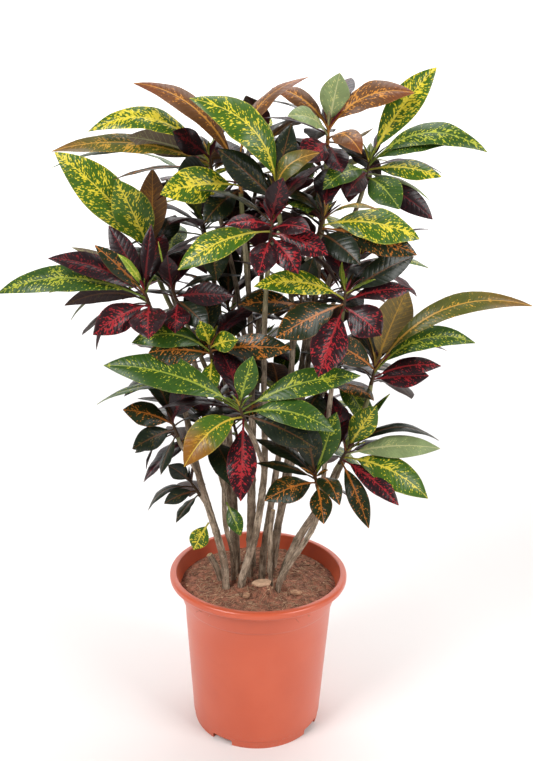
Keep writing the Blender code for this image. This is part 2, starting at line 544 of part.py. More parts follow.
def lathe(profile, segments):
    """A closed solid turned from a profile that starts and ends on the Z axis."""
    bm = bmesh.new()
    rings = []
    for radius, height in profile:
        if radius < 1e-6:
            rings.append([bm.verts.new((0, 0, height))])
            continue
        turns = [math.tau * k / segments for k in range(segments)]
        rings.append([bm.verts.new((radius * math.cos(t), radius * math.sin(t), height))
                      for t in turns])
    for low, high in zip(rings, rings[1:]):
        for k in range(segments):
            nxt = (k + 1) % segments
            corners = [low[k % len(low)], low[nxt % len(low)], high[nxt % len(high)],
                       high[k % len(high)]]
            bm.faces.new(list(dict.fromkeys(corners)))
    return bm


def block(size, place, turn):
    """A box-shaped cutter."""
    bm = bmesh.new()
    bmesh.ops.create_cube(bm, size=1)
    bmesh.ops.scale(bm, vec=size, verts=bm.verts)
    bmesh.ops.transform(bm, matrix=Matrix.Rotation(turn, 4, "Z") @ Matrix.Translation(place),
                        verts=bm.verts)
    return bm


def make_pot():
    """The pot: thin wall, rolled lip, raised gutter floor with drain holes, notched foot."""
    lip_foot = POT_HEIGHT - LIP_DEPTH
    collar_foot = SHOULDER_HEIGHT + SHOULDER_DEPTH
    gutter_outer = FOOT_RADIUS - FOOT_WIDTH
    floor = GUTTER_HEIGHT + WALL
    outside = [(0, 0), (CENTRE_PAD_RADIUS, 0), (CENTRE_PAD_RADIUS + 3 * MM, GUTTER_HEIGHT),
               (gutter_outer, GUTTER_HEIGHT), (gutter_outer, 0), (FOOT_RADIUS - FOOT_INSET, 0),
               (wall_radius(FOOT_LINE_HEIGHT) - FOOT_INSET, FOOT_LINE_HEIGHT - FOOT_INSET),
               (wall_radius(FOOT_LINE_HEIGHT), FOOT_LINE_HEIGHT),
               (WALL_TOP_RADIUS, SHOULDER_HEIGHT), (COLLAR_FOOT_RADIUS, collar_foot),
               (COLLAR_TOP_RADIUS, lip_foot)]
    lip = [(LIP_RADIUS - LIP_ROUND, lip_foot)]
    lip += rounded(LIP_RADIUS - LIP_ROUND, lip_foot + LIP_ROUND, LIP_ROUND, -45, 0, 1)
    lip += rounded(LIP_RADIUS - LIP_ROUND, POT_HEIGHT - LIP_ROUND, LIP_ROUND, 0, 90, 3)
    lip += rounded(LIP_INNER_RADIUS + 2 * MM, POT_HEIGHT - 2 * MM, 2 * MM, 90, 180, 2)
    inside = [(LIP_INNER_RADIUS - 1 * MM, POT_HEIGHT - 5 * MM),
              (COLLAR_TOP_RADIUS - WALL, lip_foot - 1 * MM),
              (COLLAR_FOOT_RADIUS - WALL, collar_foot),
              (WALL_TOP_RADIUS - WALL, SHOULDER_HEIGHT - 1 * MM),
              (wall_radius(floor) - WALL, floor), (0, floor)]
    pot = new_object("pot", lathe(outside + lip + inside, TURNED_SEGMENTS), FINISHES["pot"], 35)
    cutters = []
    for i in range(NOTCH_COUNT):
        turn = NOTCH_TURN - math.pi / 2 + math.tau * i / NOTCH_COUNT
        size = (3 * FOOT_WIDTH, NOTCH_WIDTH, 2 * NOTCH_HEIGHT)
        bm = block(size, (FOOT_RADIUS, 0, 0), turn)
        cutters.append(new_object(f"cut_notch_{i}", bm, FINISHES["pot"]))
    for i in range(DRAIN_HOLES):
        turn = NOTCH_TURN + math.tau * i / DRAIN_HOLES
        bm = bmesh.new()
        bmesh.ops.create_cone(bm, cap_ends=True, segments=8, radius1=DRAIN_RADIUS,
                              radius2=DRAIN_RADIUS, depth=4 * floor)
        place = (DRAIN_RING_RADIUS * math.cos(turn), DRAIN_RING_RADIUS * math.sin(turn), floor)
        bmesh.ops.translate(bm, vec=place, verts=bm.verts)
        cutters.append(new_object(f"cut_drain_{i}", bm, FINISHES["pot"]))
    boolean(pot, "DIFFERENCE", cutters, "pot_cutters")
    return pot


def soil_height(x, y):
    """Height of the lumpy soil: a low mound round the stems, a clod, level at the wall."""
    away = min(1.0, math.hypot(x, y) / LIP_INNER_RADIUS)
    mound = SOIL_MOUND * (0.5 + 0.5 * math.cos(math.pi * away))
    lumps = math.sin(61 * x + 1.3) * math.cos(73 * y - 0.4) + math.sin(97 * x + 118 * y)
    reach = math.hypot(x - CLOD_PLACE[0], y - CLOD_PLACE[1]) / CLOD_SPREAD
    clod = CLOD_HEIGHT * math.exp(-reach ** 4)
    return SOIL_EDGE_HEIGHT + mound + clod + lumps * 0.9 * MM


def make_soil(sockets):
    """The soil that fills the pot, with a socket round each stem."""
    floor = GUTTER_HEIGHT + WALL + GAP
    spare = WALL + 2 * GAP
    collar_foot = SHOULDER_HEIGHT + SHOULDER_DEPTH
    low = wall_radius(floor) - spare
    top = wall_radius(SOIL_EDGE_HEIGHT) - spare
    rings = [top - inset * MM for inset in (0, 5, 16, 28, 38, 44, 50, 56, 62, 70, 82, 94)]
    under = SOIL_EDGE_HEIGHT - 6 * MM
    profile = [(0, floor), (low, floor), (WALL_TOP_RADIUS - spare, SHOULDER_HEIGHT - 1 * MM),
               (COLLAR_FOOT_RADIUS - spare, collar_foot + 2 * MM),
               (wall_radius(under) - spare, under)]
    profile += [(radius, SOIL_EDGE_HEIGHT) for radius in rings] + [(0, SOIL_EDGE_HEIGHT)]
    bm = lathe(profile, TURNED_SEGMENTS)
    for vert in bm.verts:
        if vert.co.z > SOIL_EDGE_HEIGHT - 1 * MM:
            edge = min(1.0, (top - math.hypot(vert.co.x, vert.co.y)) / (8 * MM))
            lift = soil_height(vert.co.x, vert.co.y) - SOIL_EDGE_HEIGHT
            vert.co.z = SOIL_EDGE_HEIGHT - 2 * MM * (1 - edge) + lift * edge
    soil = new_object("soil", bm, FINISHES["soil"], 60)
    boolean(soil, "DIFFERENCE", sockets, "soil_sockets")
    return soil


# Stems ----------------------------------------------------------------------------------------

def crown_named(name):
    """The crown of that name."""
    return next(crown for crown in CROWNS if crown.name == name)


def run_of(points, crown):
    """A stem's smooth path, cut off a shoot's length below its crown's tip."""
    path = [point(p) for p in points]
    if not crown:
        return smooth_path(path, STEM_STEP), None
    tip = point(crown_named(crown).tip)
    along = (tip - path[-1]).normalized()
    foot = tip - along * SHOOT_LENGTH
    return smooth_path(path + [foot - along * GAP], STEM_STEP), (foot, along)


def stem_runs(stem):
    """Each tube of a stem: its path, its radii and the shoot that it carries."""
    runs = []
    path, shoot = run_of(stem.path, stem.crown)
    start, end = (thick * MM / 2 for thick in stem.thick)
    runs.append((path, taper(path, start, end), stem.crown, shoot))
    for branch in stem.branches:
        path, shoot = run_of([stem.path[branch.at]] + branch.path, branch.crown)
        start, end = (thick * MM / 2 for thick in branch.thick)
        runs.append((path, taper(path, start, end), branch.crown, shoot))
    return runs


def make_stem(stem):
    """One woody stem with its side branches, joined into one body."""
    runs = stem_runs(stem)
    path, radii = runs[0][:2]
    obj = new_object(stem.name, tube(path, radii, STEM_SIDES), FINISHES["bark"])
    if len(runs) > 1:
        sides = [new_object(f"{stem.name}_side_{i}", tube(path, radii, BRANCH_SIDES),
                            FINISHES["bark"])
                 for i, (path, radii, _, _) in enumerate(runs[1:])]
        boolean(obj, "UNION", sides, f"{stem.name}_sides", True)
    return obj


def make_socket(stem):
    """The hole that a stem leaves in the soil."""
    path, radii = stem_runs(stem)[0][:2]
    count = next(i for i, p in enumerate(path) if p.z > SOIL_EDGE_HEIGHT + 2.2 * SOIL_MOUND)
    deep = path[0] - (path[1] - path[0]).normalized() * GAP
    route = [deep] + path[1:count + 1]
    wide = [radius + GAP * 1.4 for radius in radii[:count + 1]]
    return new_object(f"cut_{stem.name}", tube(route, wide, STEM_SIDES), FINISHES["soil"])


# Leaves ---------------------------------------------------------------------------------------

@dataclass
class Blade:
    """A leaf set in space: its midrib's four control points, its side vectors and its width."""

    start: Vector
    tip: Vector
    face: Vector
    width: float
    bow: float

    def spine(self, t):
        """A point of the midrib, from the foot at 0 to the tip at 1."""
        chord = self.tip - self.start
        length = chord.length
        rise = self.lift() * (self.bow * length)
        near = self.start + chord / 3 + rise
        far = self.start + chord * 2 / 3 + rise
        s = 1 - t
        return (self.start * s ** 3 + near * (3 * s * s * t) + far * (3 * s * t * t)
                + self.tip * t ** 3)

    def lift(self):
        """The way the midrib arches: between the way the leaf faces and straight up."""
        chord = (self.tip - self.start).normalized()
        way = self.face.normalized() + Vector((0, 0, 0.8))
        way -= chord * way.dot(chord)
        return way.normalized()

    def frame(self, t):
        """The midrib point, the side vector and the upward vector of the blade there."""
        here = self.spine(t)
        along = (self.spine(min(1, t + 0.02)) - self.spine(max(0, t - 0.02))).normalized()
        up = (self.face - along * self.face.dot(along)).normalized()
        return here, along.cross(up), up

    def solid(self, thickness):
        """The leaf as a closed solid: slim petiole, shallow keeled blade, pointed tip."""
        bm = bmesh.new()
        rings = []
        half = PETIOLE_HALF + (thickness - BLADE_THICKNESS) / 2
        for t in (0, PETIOLE_SHARE):
            here, side, up = self.frame(t)
            rings.append([here - side * half + up * half * 0.7, here + side * half + up * half * 0.7,
                          here - up * half])
        for t, share in BLADE_STATIONS:
            here, side, up = self.frame(t)
            reach = self.width / 2 * share
            out, high = reach * math.cos(FOLD_ANGLE), reach * math.sin(FOLD_ANGLE)
            rings.append([here - side * out + up * high, here + side * out + up * high,
                          here - up * thickness])
        rings = [[bm.verts.new(co) for co in ring] for ring in rings]
        for low, high in zip(rings, rings[1:]):
            for k in range(3):
                nxt = (k + 1) % 3
                bm.faces.new((low[k], low[nxt], high[nxt]))
                bm.faces.new((low[k], high[nxt], high[k]))
        end = bm.verts.new(self.tip)
        for k in range(3):
            bm.faces.new((rings[-1][k], rings[-1][(k + 1) % 3], end))
        bm.faces.new(rings[0][::-1])
        bmesh.ops.recalc_face_normals(bm, faces=bm.faces)
        return bm


def facing(leaf, chord):
    """The way a leaf looks: its named face, or up and outwards at right angles to it."""
    if leaf.face is not Face.AUTO:
        way = Vector(leaf.face.value)
    else:
        way = Vector((0, 0, 1))
    way = way.normalized()
    level = way - chord.normalized() * way.dot(chord.normalized())
    if level.length < 0.2:
        level = Vector((0, -1, 0)) - chord.normalized() * -chord.normalized().y
    return level.normalized()


def spiral_leaves(crown):
    """The plain leaves of a crown, each a golden angle round from the last, lowest first."""
    start, end = (math.radians(angle) for angle in crown.arc)
    leaves = []
    for i in range(crown.fill):
        inner = i / max(1, crown.fill - 1)
        turn = (i * GOLDEN_ANGLE + crown.tip[0]) % math.tau
        turn = start + (end - start) * turn / math.tau
        rise = math.radians(-34 + 78 * inner)
        reach = crown.fill_length * (1.0 - 0.25 * inner)
        way = Vector((math.cos(turn) * math.cos(rise), math.sin(turn) * math.cos(rise),
                      math.sin(rise)))
        tip = Vector(crown.tip) + way * reach
        paint = crown.fill_paints[i % len(crown.fill_paints)]
        leaves.append(Leaf(paint, tuple(tip), 4.3 - 0.7 * inner, 0.16))
    return leaves


def turned(chord, turn, rise):
    """A chord swung sideways and tipped upwards by small angles."""
    swung = Matrix.Rotation(turn, 3, "Z") @ chord
    level = Vector((swung.y, -swung.x, 0))
    if level.length < 1e-6:
        return swung
    return Matrix.Rotation(rise, 3, level.normalized()) @ swung


def tree_of(bm):
    """A search tree of a solid, with its box."""
    tree = BVHTree.FromBMesh(bm)
    cos = [vert.co for vert in bm.verts]
    low = Vector([min(co[k] for co in cos) for k in range(3)])
    high = Vector([max(co[k] for co in cos) for k in range(3)])
    return tree, low, high


def touching(one, other):
    """Whether the surfaces of two solids cross."""
    if any(one[1][k] > other[2][k] or other[1][k] > one[2][k] for k in range(3)):
        return False
    return bool(one[0].overlap(other[0]))


def settle(crowns, runs, stems):
    """Set every leaf in space, nudged where needed so that no two crowns touch.

    The hand-placed leaves of all crowns are set first and the spiral leaves round them.
    """
    shoots = {crown: shoot for _, _, crown, shoot in runs if crown}
    blocks = [(tree_of(bm), "wood") for bm in stems]
    for name, (foot, along) in shoots.items():
        bm = shoot_solid(foot, along, 1.5 * GAP)
        blocks.append((tree_of(bm), name))
        bm.free()
    placed = {crown.name: [] for crown in crowns}
    inner = {crown.name: [] for crown in crowns}
    spirals = {crown.name: spiral_leaves(crown) for crown in crowns}
    jobs = [(crown, leaf, True) for crown in crowns for leaf in crown.leaves]
    jobs += [(crown, leaf, False) for crown in crowns for leaf in spirals[crown.name]]
    for crown, leaf, by_hand in jobs:
        foot, along = shoots[crown.name]
        tip = point(leaf.tip)
        rank = climbing_rank(crown, leaf, crown.leaves + spirals[crown.name])
        start = foot + along * SHOOT_LENGTH * (0.12 + 0.82 * rank)
        blade = first_clear(crown.name, leaf, start, tip, blocks, inner[crown.name], by_hand)
        if blade is None:
            continue
        bm = blade.solid(SETTLE_THICKNESS)
        blocks.append((tree_of(bm), crown.name))
        bm.free()
        inner[crown.name].append(outer_tree(blade))
        placed[crown.name].append((blade, leaf.paint))
    return placed


def climbing_rank(crown, leaf, leaves):
    """How high on its shoot a leaf sits, from 0 to 1: the steeper it climbs, the higher."""
    def climb(one):
        return (Vector(one.tip) - Vector(crown.tip)).normalized().z

    below = sum(1 for other in leaves if climb(other) < climb(leaf))
    return below / max(1, len(leaves) - 1)


def outer_tree(blade):
    """The outer part of a leaf, which keeps clear of its own crown's leaves too."""
    bm = blade.solid(SETTLE_THICKNESS)
    away = blade.start
    reach = (blade.tip - away).length * OWN_CROWN_SHARE
    near = [vert for vert in bm.verts if (vert.co - away).length < reach]
    bmesh.ops.delete(bm, geom=near, context="VERTS")
    tree = tree_of(bm)
    bm.free()
    return tree


def first_clear(name, leaf, start, tip, blocks, own, by_hand):
    """The first way a leaf fits between the others: as drawn, else nudged, else shorter."""
    chord = tip - start
    for share in SHORTER:
        for spare in ((True, False) if by_hand else (True,)):
            for rise in SETTLE_STEPS[:7 if by_hand else None]:
                for turn in SETTLE_STEPS[:5 if by_hand else None]:
                    way = turned(chord * share, math.radians(turn), math.radians(rise))
                    blade = Blade(start, start + way, facing(leaf, way),
                                  leaf.width * CM * (0.5 + 0.5 * share), leaf.bow)
                    if fits(name, blade, blocks, own if spare else []):
                        return blade
    return None


def fits(name, blade, blocks, own):
    """Whether a leaf is clear of other crowns and the wood, and mostly of its own crown."""
    bm = blade.solid(SETTLE_THICKNESS)
    mine = tree_of(bm)
    bm.free()
    for other, owner in blocks:
        if owner != name and touching(mine, other):
            return False
    if not own:
        return True
    outer = outer_tree(blade)
    return not any(touching(outer, other) for other in own)


def shoot_solid(foot, along, spare=0.0):
    """The green shoot tip that the leaves of a crown grow from."""
    path = [foot + along * SHOOT_LENGTH * t for t in (0, 1)]
    radii = [SHOOT_BASE_RADIUS + spare, SHOOT_TIP_RADIUS + spare]
    return tube(path, radii, SHOOT_SIDES)


def make_crown(crown, shoot, blades):
    """One crown: its shoot and leaves joined into one body."""
    paint = blades[0][1].value
    obj = new_object(crown.name, shoot_solid(*shoot), paint)
    leaves = [new_object(f"{crown.name}_leaf_{i}", blade.solid(BLADE_THICKNESS), leaf.value)
              for i, (blade, leaf) in enumerate(blades)]
    boolean(obj, "UNION", leaves, f"{crown.name}_leaves")
    return obj


def lone_blade(stem_name, height, leaf):
    """A leaf that grows straight off a stem, its foot just outside the bark."""
    stem = next(stem for stem in STEMS if stem.name == stem_name)
    path, radii = stem_runs(stem)[0][:2]
    above = next(i for i, p in enumerate(path) if p.z > height * CM)
    low, high = path[above - 1], path[above]
    share = (height * CM - low.z) / (high.z - low.z)
    heart = low.lerp(high, share)
    radius = radii[above - 1] + (radii[above] - radii[above - 1]) * share
    out = point(leaf.tip) - heart
    out.z = 0
    start = heart + out.normalized() * (radius + LONE_LEAF_STANDOFF)
    chord = point(leaf.tip) - start
    return Blade(start, point(leaf.tip), facing(leaf, chord), leaf.width * CM, leaf.bow)


def make_chip(name, place, size, turn):
    """A flake of bark lying on the soil: a low, bent, five-sided slab."""
    length, width, height = (value * CM for value in size)
    x, y = (value * CM for value in place)
    bm = bmesh.new()
    outline = ((-0.5, -0.1), (-0.2, -0.5), (0.35, -0.42), (0.5, 0.05), (0.1, 0.5), (-0.35, 0.38))
    spin = Matrix.Rotation(math.radians(turn), 2)
    spots = [Vector((dx * length, dy * width)) for dx in CHIP_SPOTS for dy in CHIP_SPOTS]
    base = max(soil_height(x + (spin @ spot).x, y + (spin @ spot).y) for spot in spots)
    rings = []
    for level, share in ((-CHIP_SINK, 0.9), (height * 0.6, 1.0), (height, 0.7)):
        ring = []
        for u, v in outline:
            flat = spin @ Vector((u * length * share, v * width * share))
            ring.append(bm.verts.new((x + flat.x, y + flat.y, base + level)))
        rings.append(ring)
    for low, high in zip(rings, rings[1:]):
        for k in range(len(outline)):
            nxt = (k + 1) % len(outline)
            bm.faces.new((low[k], low[nxt], high[nxt], high[k]))
    bm.faces.new(rings[0][::-1])
    bm.faces.new(rings[-1])
    return new_object(name, bm, FINISHES["chip"], 30)


def main():
    """Build the pot, the soil, the stems, the crowns and the small pieces."""
    clear_scene()
    stems = STEMS + [SAWN_SHOOT]
    make_pot()
    make_soil([make_socket(stem) for stem in stems])
    for stem in stems:
        make_stem(stem)
    runs = [run for stem in STEMS for run in stem_runs(stem)]
    spare = 1.5 * GAP
    wood = [tube(path, [radius + spare for radius in radii], STEM_SIDES)
            for path, radii, _, _ in runs]
    shoots = {crown: shoot for _, _, crown, shoot in runs if crown}
    for crown_name, blades in settle(CROWNS, runs, wood).items():
        crown = crown_named(crown_name)
        make_crown(crown, shoots[crown_name], blades)
    for name, stem_name, height, leaf in LONE_LEAVES:
        blade = lone_blade(stem_name, height, leaf)
        new_object(name, blade.solid(BLADE_THICKNESS), leaf.paint.value)
    for name, place, size, turn in CHIPS:
        make_chip(name, place, size, turn)


if __name__ == "__main__":
    main()
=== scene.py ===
"""Looks of a potted croton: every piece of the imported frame, modelled in detail and painted.

The pot stands on z = 0 with its centre on the Z axis, and the plant's front looks along -Y.
The tables below are in centimetres, and the thickness of wood in millimetres. The classes that
follow them are in metres.
"""

import json
import logging
import math
import random
from dataclasses import dataclass, field
from enum import Enum
from typing import Callable, Iterable, Optional, Union

import bmesh
import bpy
from mathutils import Matrix, Vector, noise
from mathutils.bvhtree import BVHTree

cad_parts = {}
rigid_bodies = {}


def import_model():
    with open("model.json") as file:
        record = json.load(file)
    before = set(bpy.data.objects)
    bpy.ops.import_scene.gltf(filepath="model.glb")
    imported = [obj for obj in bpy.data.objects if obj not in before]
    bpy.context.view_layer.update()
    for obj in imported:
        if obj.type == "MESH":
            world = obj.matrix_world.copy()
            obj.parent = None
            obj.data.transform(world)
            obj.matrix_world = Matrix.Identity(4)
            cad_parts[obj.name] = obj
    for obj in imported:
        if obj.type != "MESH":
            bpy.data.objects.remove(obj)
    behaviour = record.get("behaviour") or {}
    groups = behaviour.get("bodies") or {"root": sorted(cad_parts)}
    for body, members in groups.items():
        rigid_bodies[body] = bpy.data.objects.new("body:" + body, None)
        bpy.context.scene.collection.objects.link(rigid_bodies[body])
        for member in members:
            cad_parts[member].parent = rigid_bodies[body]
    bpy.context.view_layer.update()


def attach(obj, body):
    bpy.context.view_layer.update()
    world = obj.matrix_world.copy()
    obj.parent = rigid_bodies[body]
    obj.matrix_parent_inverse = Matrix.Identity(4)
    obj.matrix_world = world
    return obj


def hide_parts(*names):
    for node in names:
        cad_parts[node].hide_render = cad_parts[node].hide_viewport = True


LOG = logging.getLogger("croton")
CM = 0.01
MM = 0.001
GAP = 0.3 * MM
GOLDEN_ANGLE = math.radians(137.5)
BAKE_LAYER = "OFBake"

Colour = tuple[float, float, float]


# Tables ---------------------------------------------------------------------------------------

class Face(Enum):
    """The way the upper side of a leaf looks."""

    AUTO = None
    UP = (0.0, -0.25, 1.0)
    FRONT_UP = (0.0, -0.75, 0.65)
    FRONT = (0.0, -1.0, 0.25)
    BACK = (0.0, 1.0, 0.3)
    BACK_UP = (0.0, 0.6, 0.8)
    LEFT = (-0.8, -0.55, 0.4)
    RIGHT = (0.8, -0.55, 0.4)


@dataclass(frozen=True)
class LeafFinish:
    """Colours of one sort of leaf.

    Attributes:
        ground: Main colour of the upper side.
        fleck: Colour of the flecks.
        rib: Colour of the midrib.
        under: Main colour of the underside.
        flecks: How much of the leaf the flecks cover, from 0 to 1.
        gloss: Roughness of the upper side.
        tip: Colour that the outer end turns to, if it turns.
        tip_from: Share of the length where the outer end starts to turn.
    """

    ground: Colour
    fleck: Colour
    rib: Colour
    under: Colour
    flecks: float
    gloss: float
    tip: Optional[Colour] = None
    tip_from: float = 1.0


class Paint(Enum):
    """The sorts of leaf on the plant."""

    GREEN = LeafFinish((0.024, 0.064, 0.006), (0.54, 0.52, 0.03), (0.28, 0.34, 0.04),
                       (0.09, 0.11, 0.030), 0.43, 0.34)
    YELLOW = LeafFinish((0.040, 0.096, 0.006), (0.68, 0.55, 0.020), (0.66, 0.55, 0.06),
                        (0.16, 0.18, 0.04), 0.62, 0.32)
    TURNING = LeafFinish((0.048, 0.105, 0.008), (0.68, 0.50, 0.020), (0.64, 0.44, 0.05),
                         (0.16, 0.14, 0.035), 0.54, 0.34, (0.26, 0.085, 0.010), 0.56)
    OLIVE = LeafFinish((0.072, 0.078, 0.012), (0.50, 0.29, 0.028), (0.52, 0.28, 0.045),
                       (0.15, 0.11, 0.035), 0.46, 0.36, (0.17, 0.075, 0.014), 0.72)
    BRONZE = LeafFinish((0.105, 0.042, 0.013), (0.58, 0.22, 0.023), (0.56, 0.25, 0.04),
                        (0.15, 0.07, 0.025), 0.44, 0.36, (0.17, 0.045, 0.013), 0.7)
    # Painted sheen: this pale grey-green paints the grey sheen of glossy dark-green leaves into their
    # colour.
    PALE = LeafFinish((0.17, 0.22, 0.090), (0.44, 0.43, 0.13), (0.44, 0.44, 0.21),
                      (0.17, 0.13, 0.09), 0.42, 0.42)
    LIME = LeafFinish((0.17, 0.25, 0.024), (0.58, 0.55, 0.06), (0.54, 0.53, 0.10),
                      (0.21, 0.26, 0.06), 0.40, 0.36)
    DARK = LeafFinish((0.0062, 0.0120, 0.0045), (0.085, 0.080, 0.010), (0.105, 0.040, 0.012),
                      (0.032, 0.014, 0.013), 0.30, 0.30)
    SPECKLED = LeafFinish((0.0105, 0.0180, 0.0050), (0.50, 0.165, 0.015), (0.44, 0.140, 0.022),
                          (0.042, 0.020, 0.014), 0.47, 0.31)
    MAROON = LeafFinish((0.0105, 0.0028, 0.0044), (0.16, 0.008, 0.012), (0.12, 0.010, 0.012),
                        (0.048, 0.012, 0.018), 0.36, 0.32)
    RED = LeafFinish((0.0150, 0.0032, 0.0050), (0.38, 0.014, 0.022), (0.30, 0.018, 0.022),
                     (0.062, 0.013, 0.021), 0.51, 0.32)


@dataclass(frozen=True)
class Leaf:
    """One leaf: where its tip is, its width, how much it arches and how it looks."""

    paint: Paint
    tip: tuple[float, float, float]
    width: float
    bow: float = 0.12
    face: Face = Face.FRONT


G, Y, O, B, P = Paint.GREEN, Paint.YELLOW, Paint.OLIVE, Paint.BRONZE, Paint.PALE
L, D, S, M, R = Paint.LIME, Paint.DARK, Paint.SPECKLED, Paint.MAROON, Paint.RED
T = Paint.TURNING
REAR = (15, 165)


@dataclass(frozen=True)
class Crown:
    """A shoot tip with its whorl of leaves, plus a number of plain spiral leaves."""

    name: str
    tip: tuple[float, float, float]
    leaves: list[Leaf] = field(default_factory=list)
    fill: int = 0
    arc: tuple[float, float] = (0, 360)
    fill_paints: tuple[Paint, ...] = (D, M)


@dataclass(frozen=True)
class Branch:
    """A side branch that leaves its stem at one of the points of the stem's path."""

    at: int
    path: list[tuple[float, float, float]]
    thick: tuple[float, float]
    crown: str


@dataclass(frozen=True)
class Stem:
    """A woody stem: its path, its thickness at both ends in mm, its crown and branches."""

    name: str
    path: list[tuple[float, float, float]]
    thick: tuple[float, float]
    crown: str = ""
    branches: list[Branch] = field(default_factory=list)


UP, FRONT_UP, LEFT, BACK = Face.UP, Face.FRONT_UP, Face.LEFT, Face.BACK


def rows(*table: tuple) -> list[Leaf]:
    """The leaves of a crown, from rows of paint, tip, width, bow and perhaps the way it faces."""
    return [Leaf(paint, (x, y, z), *rest) for paint, x, y, z, *rest in table]


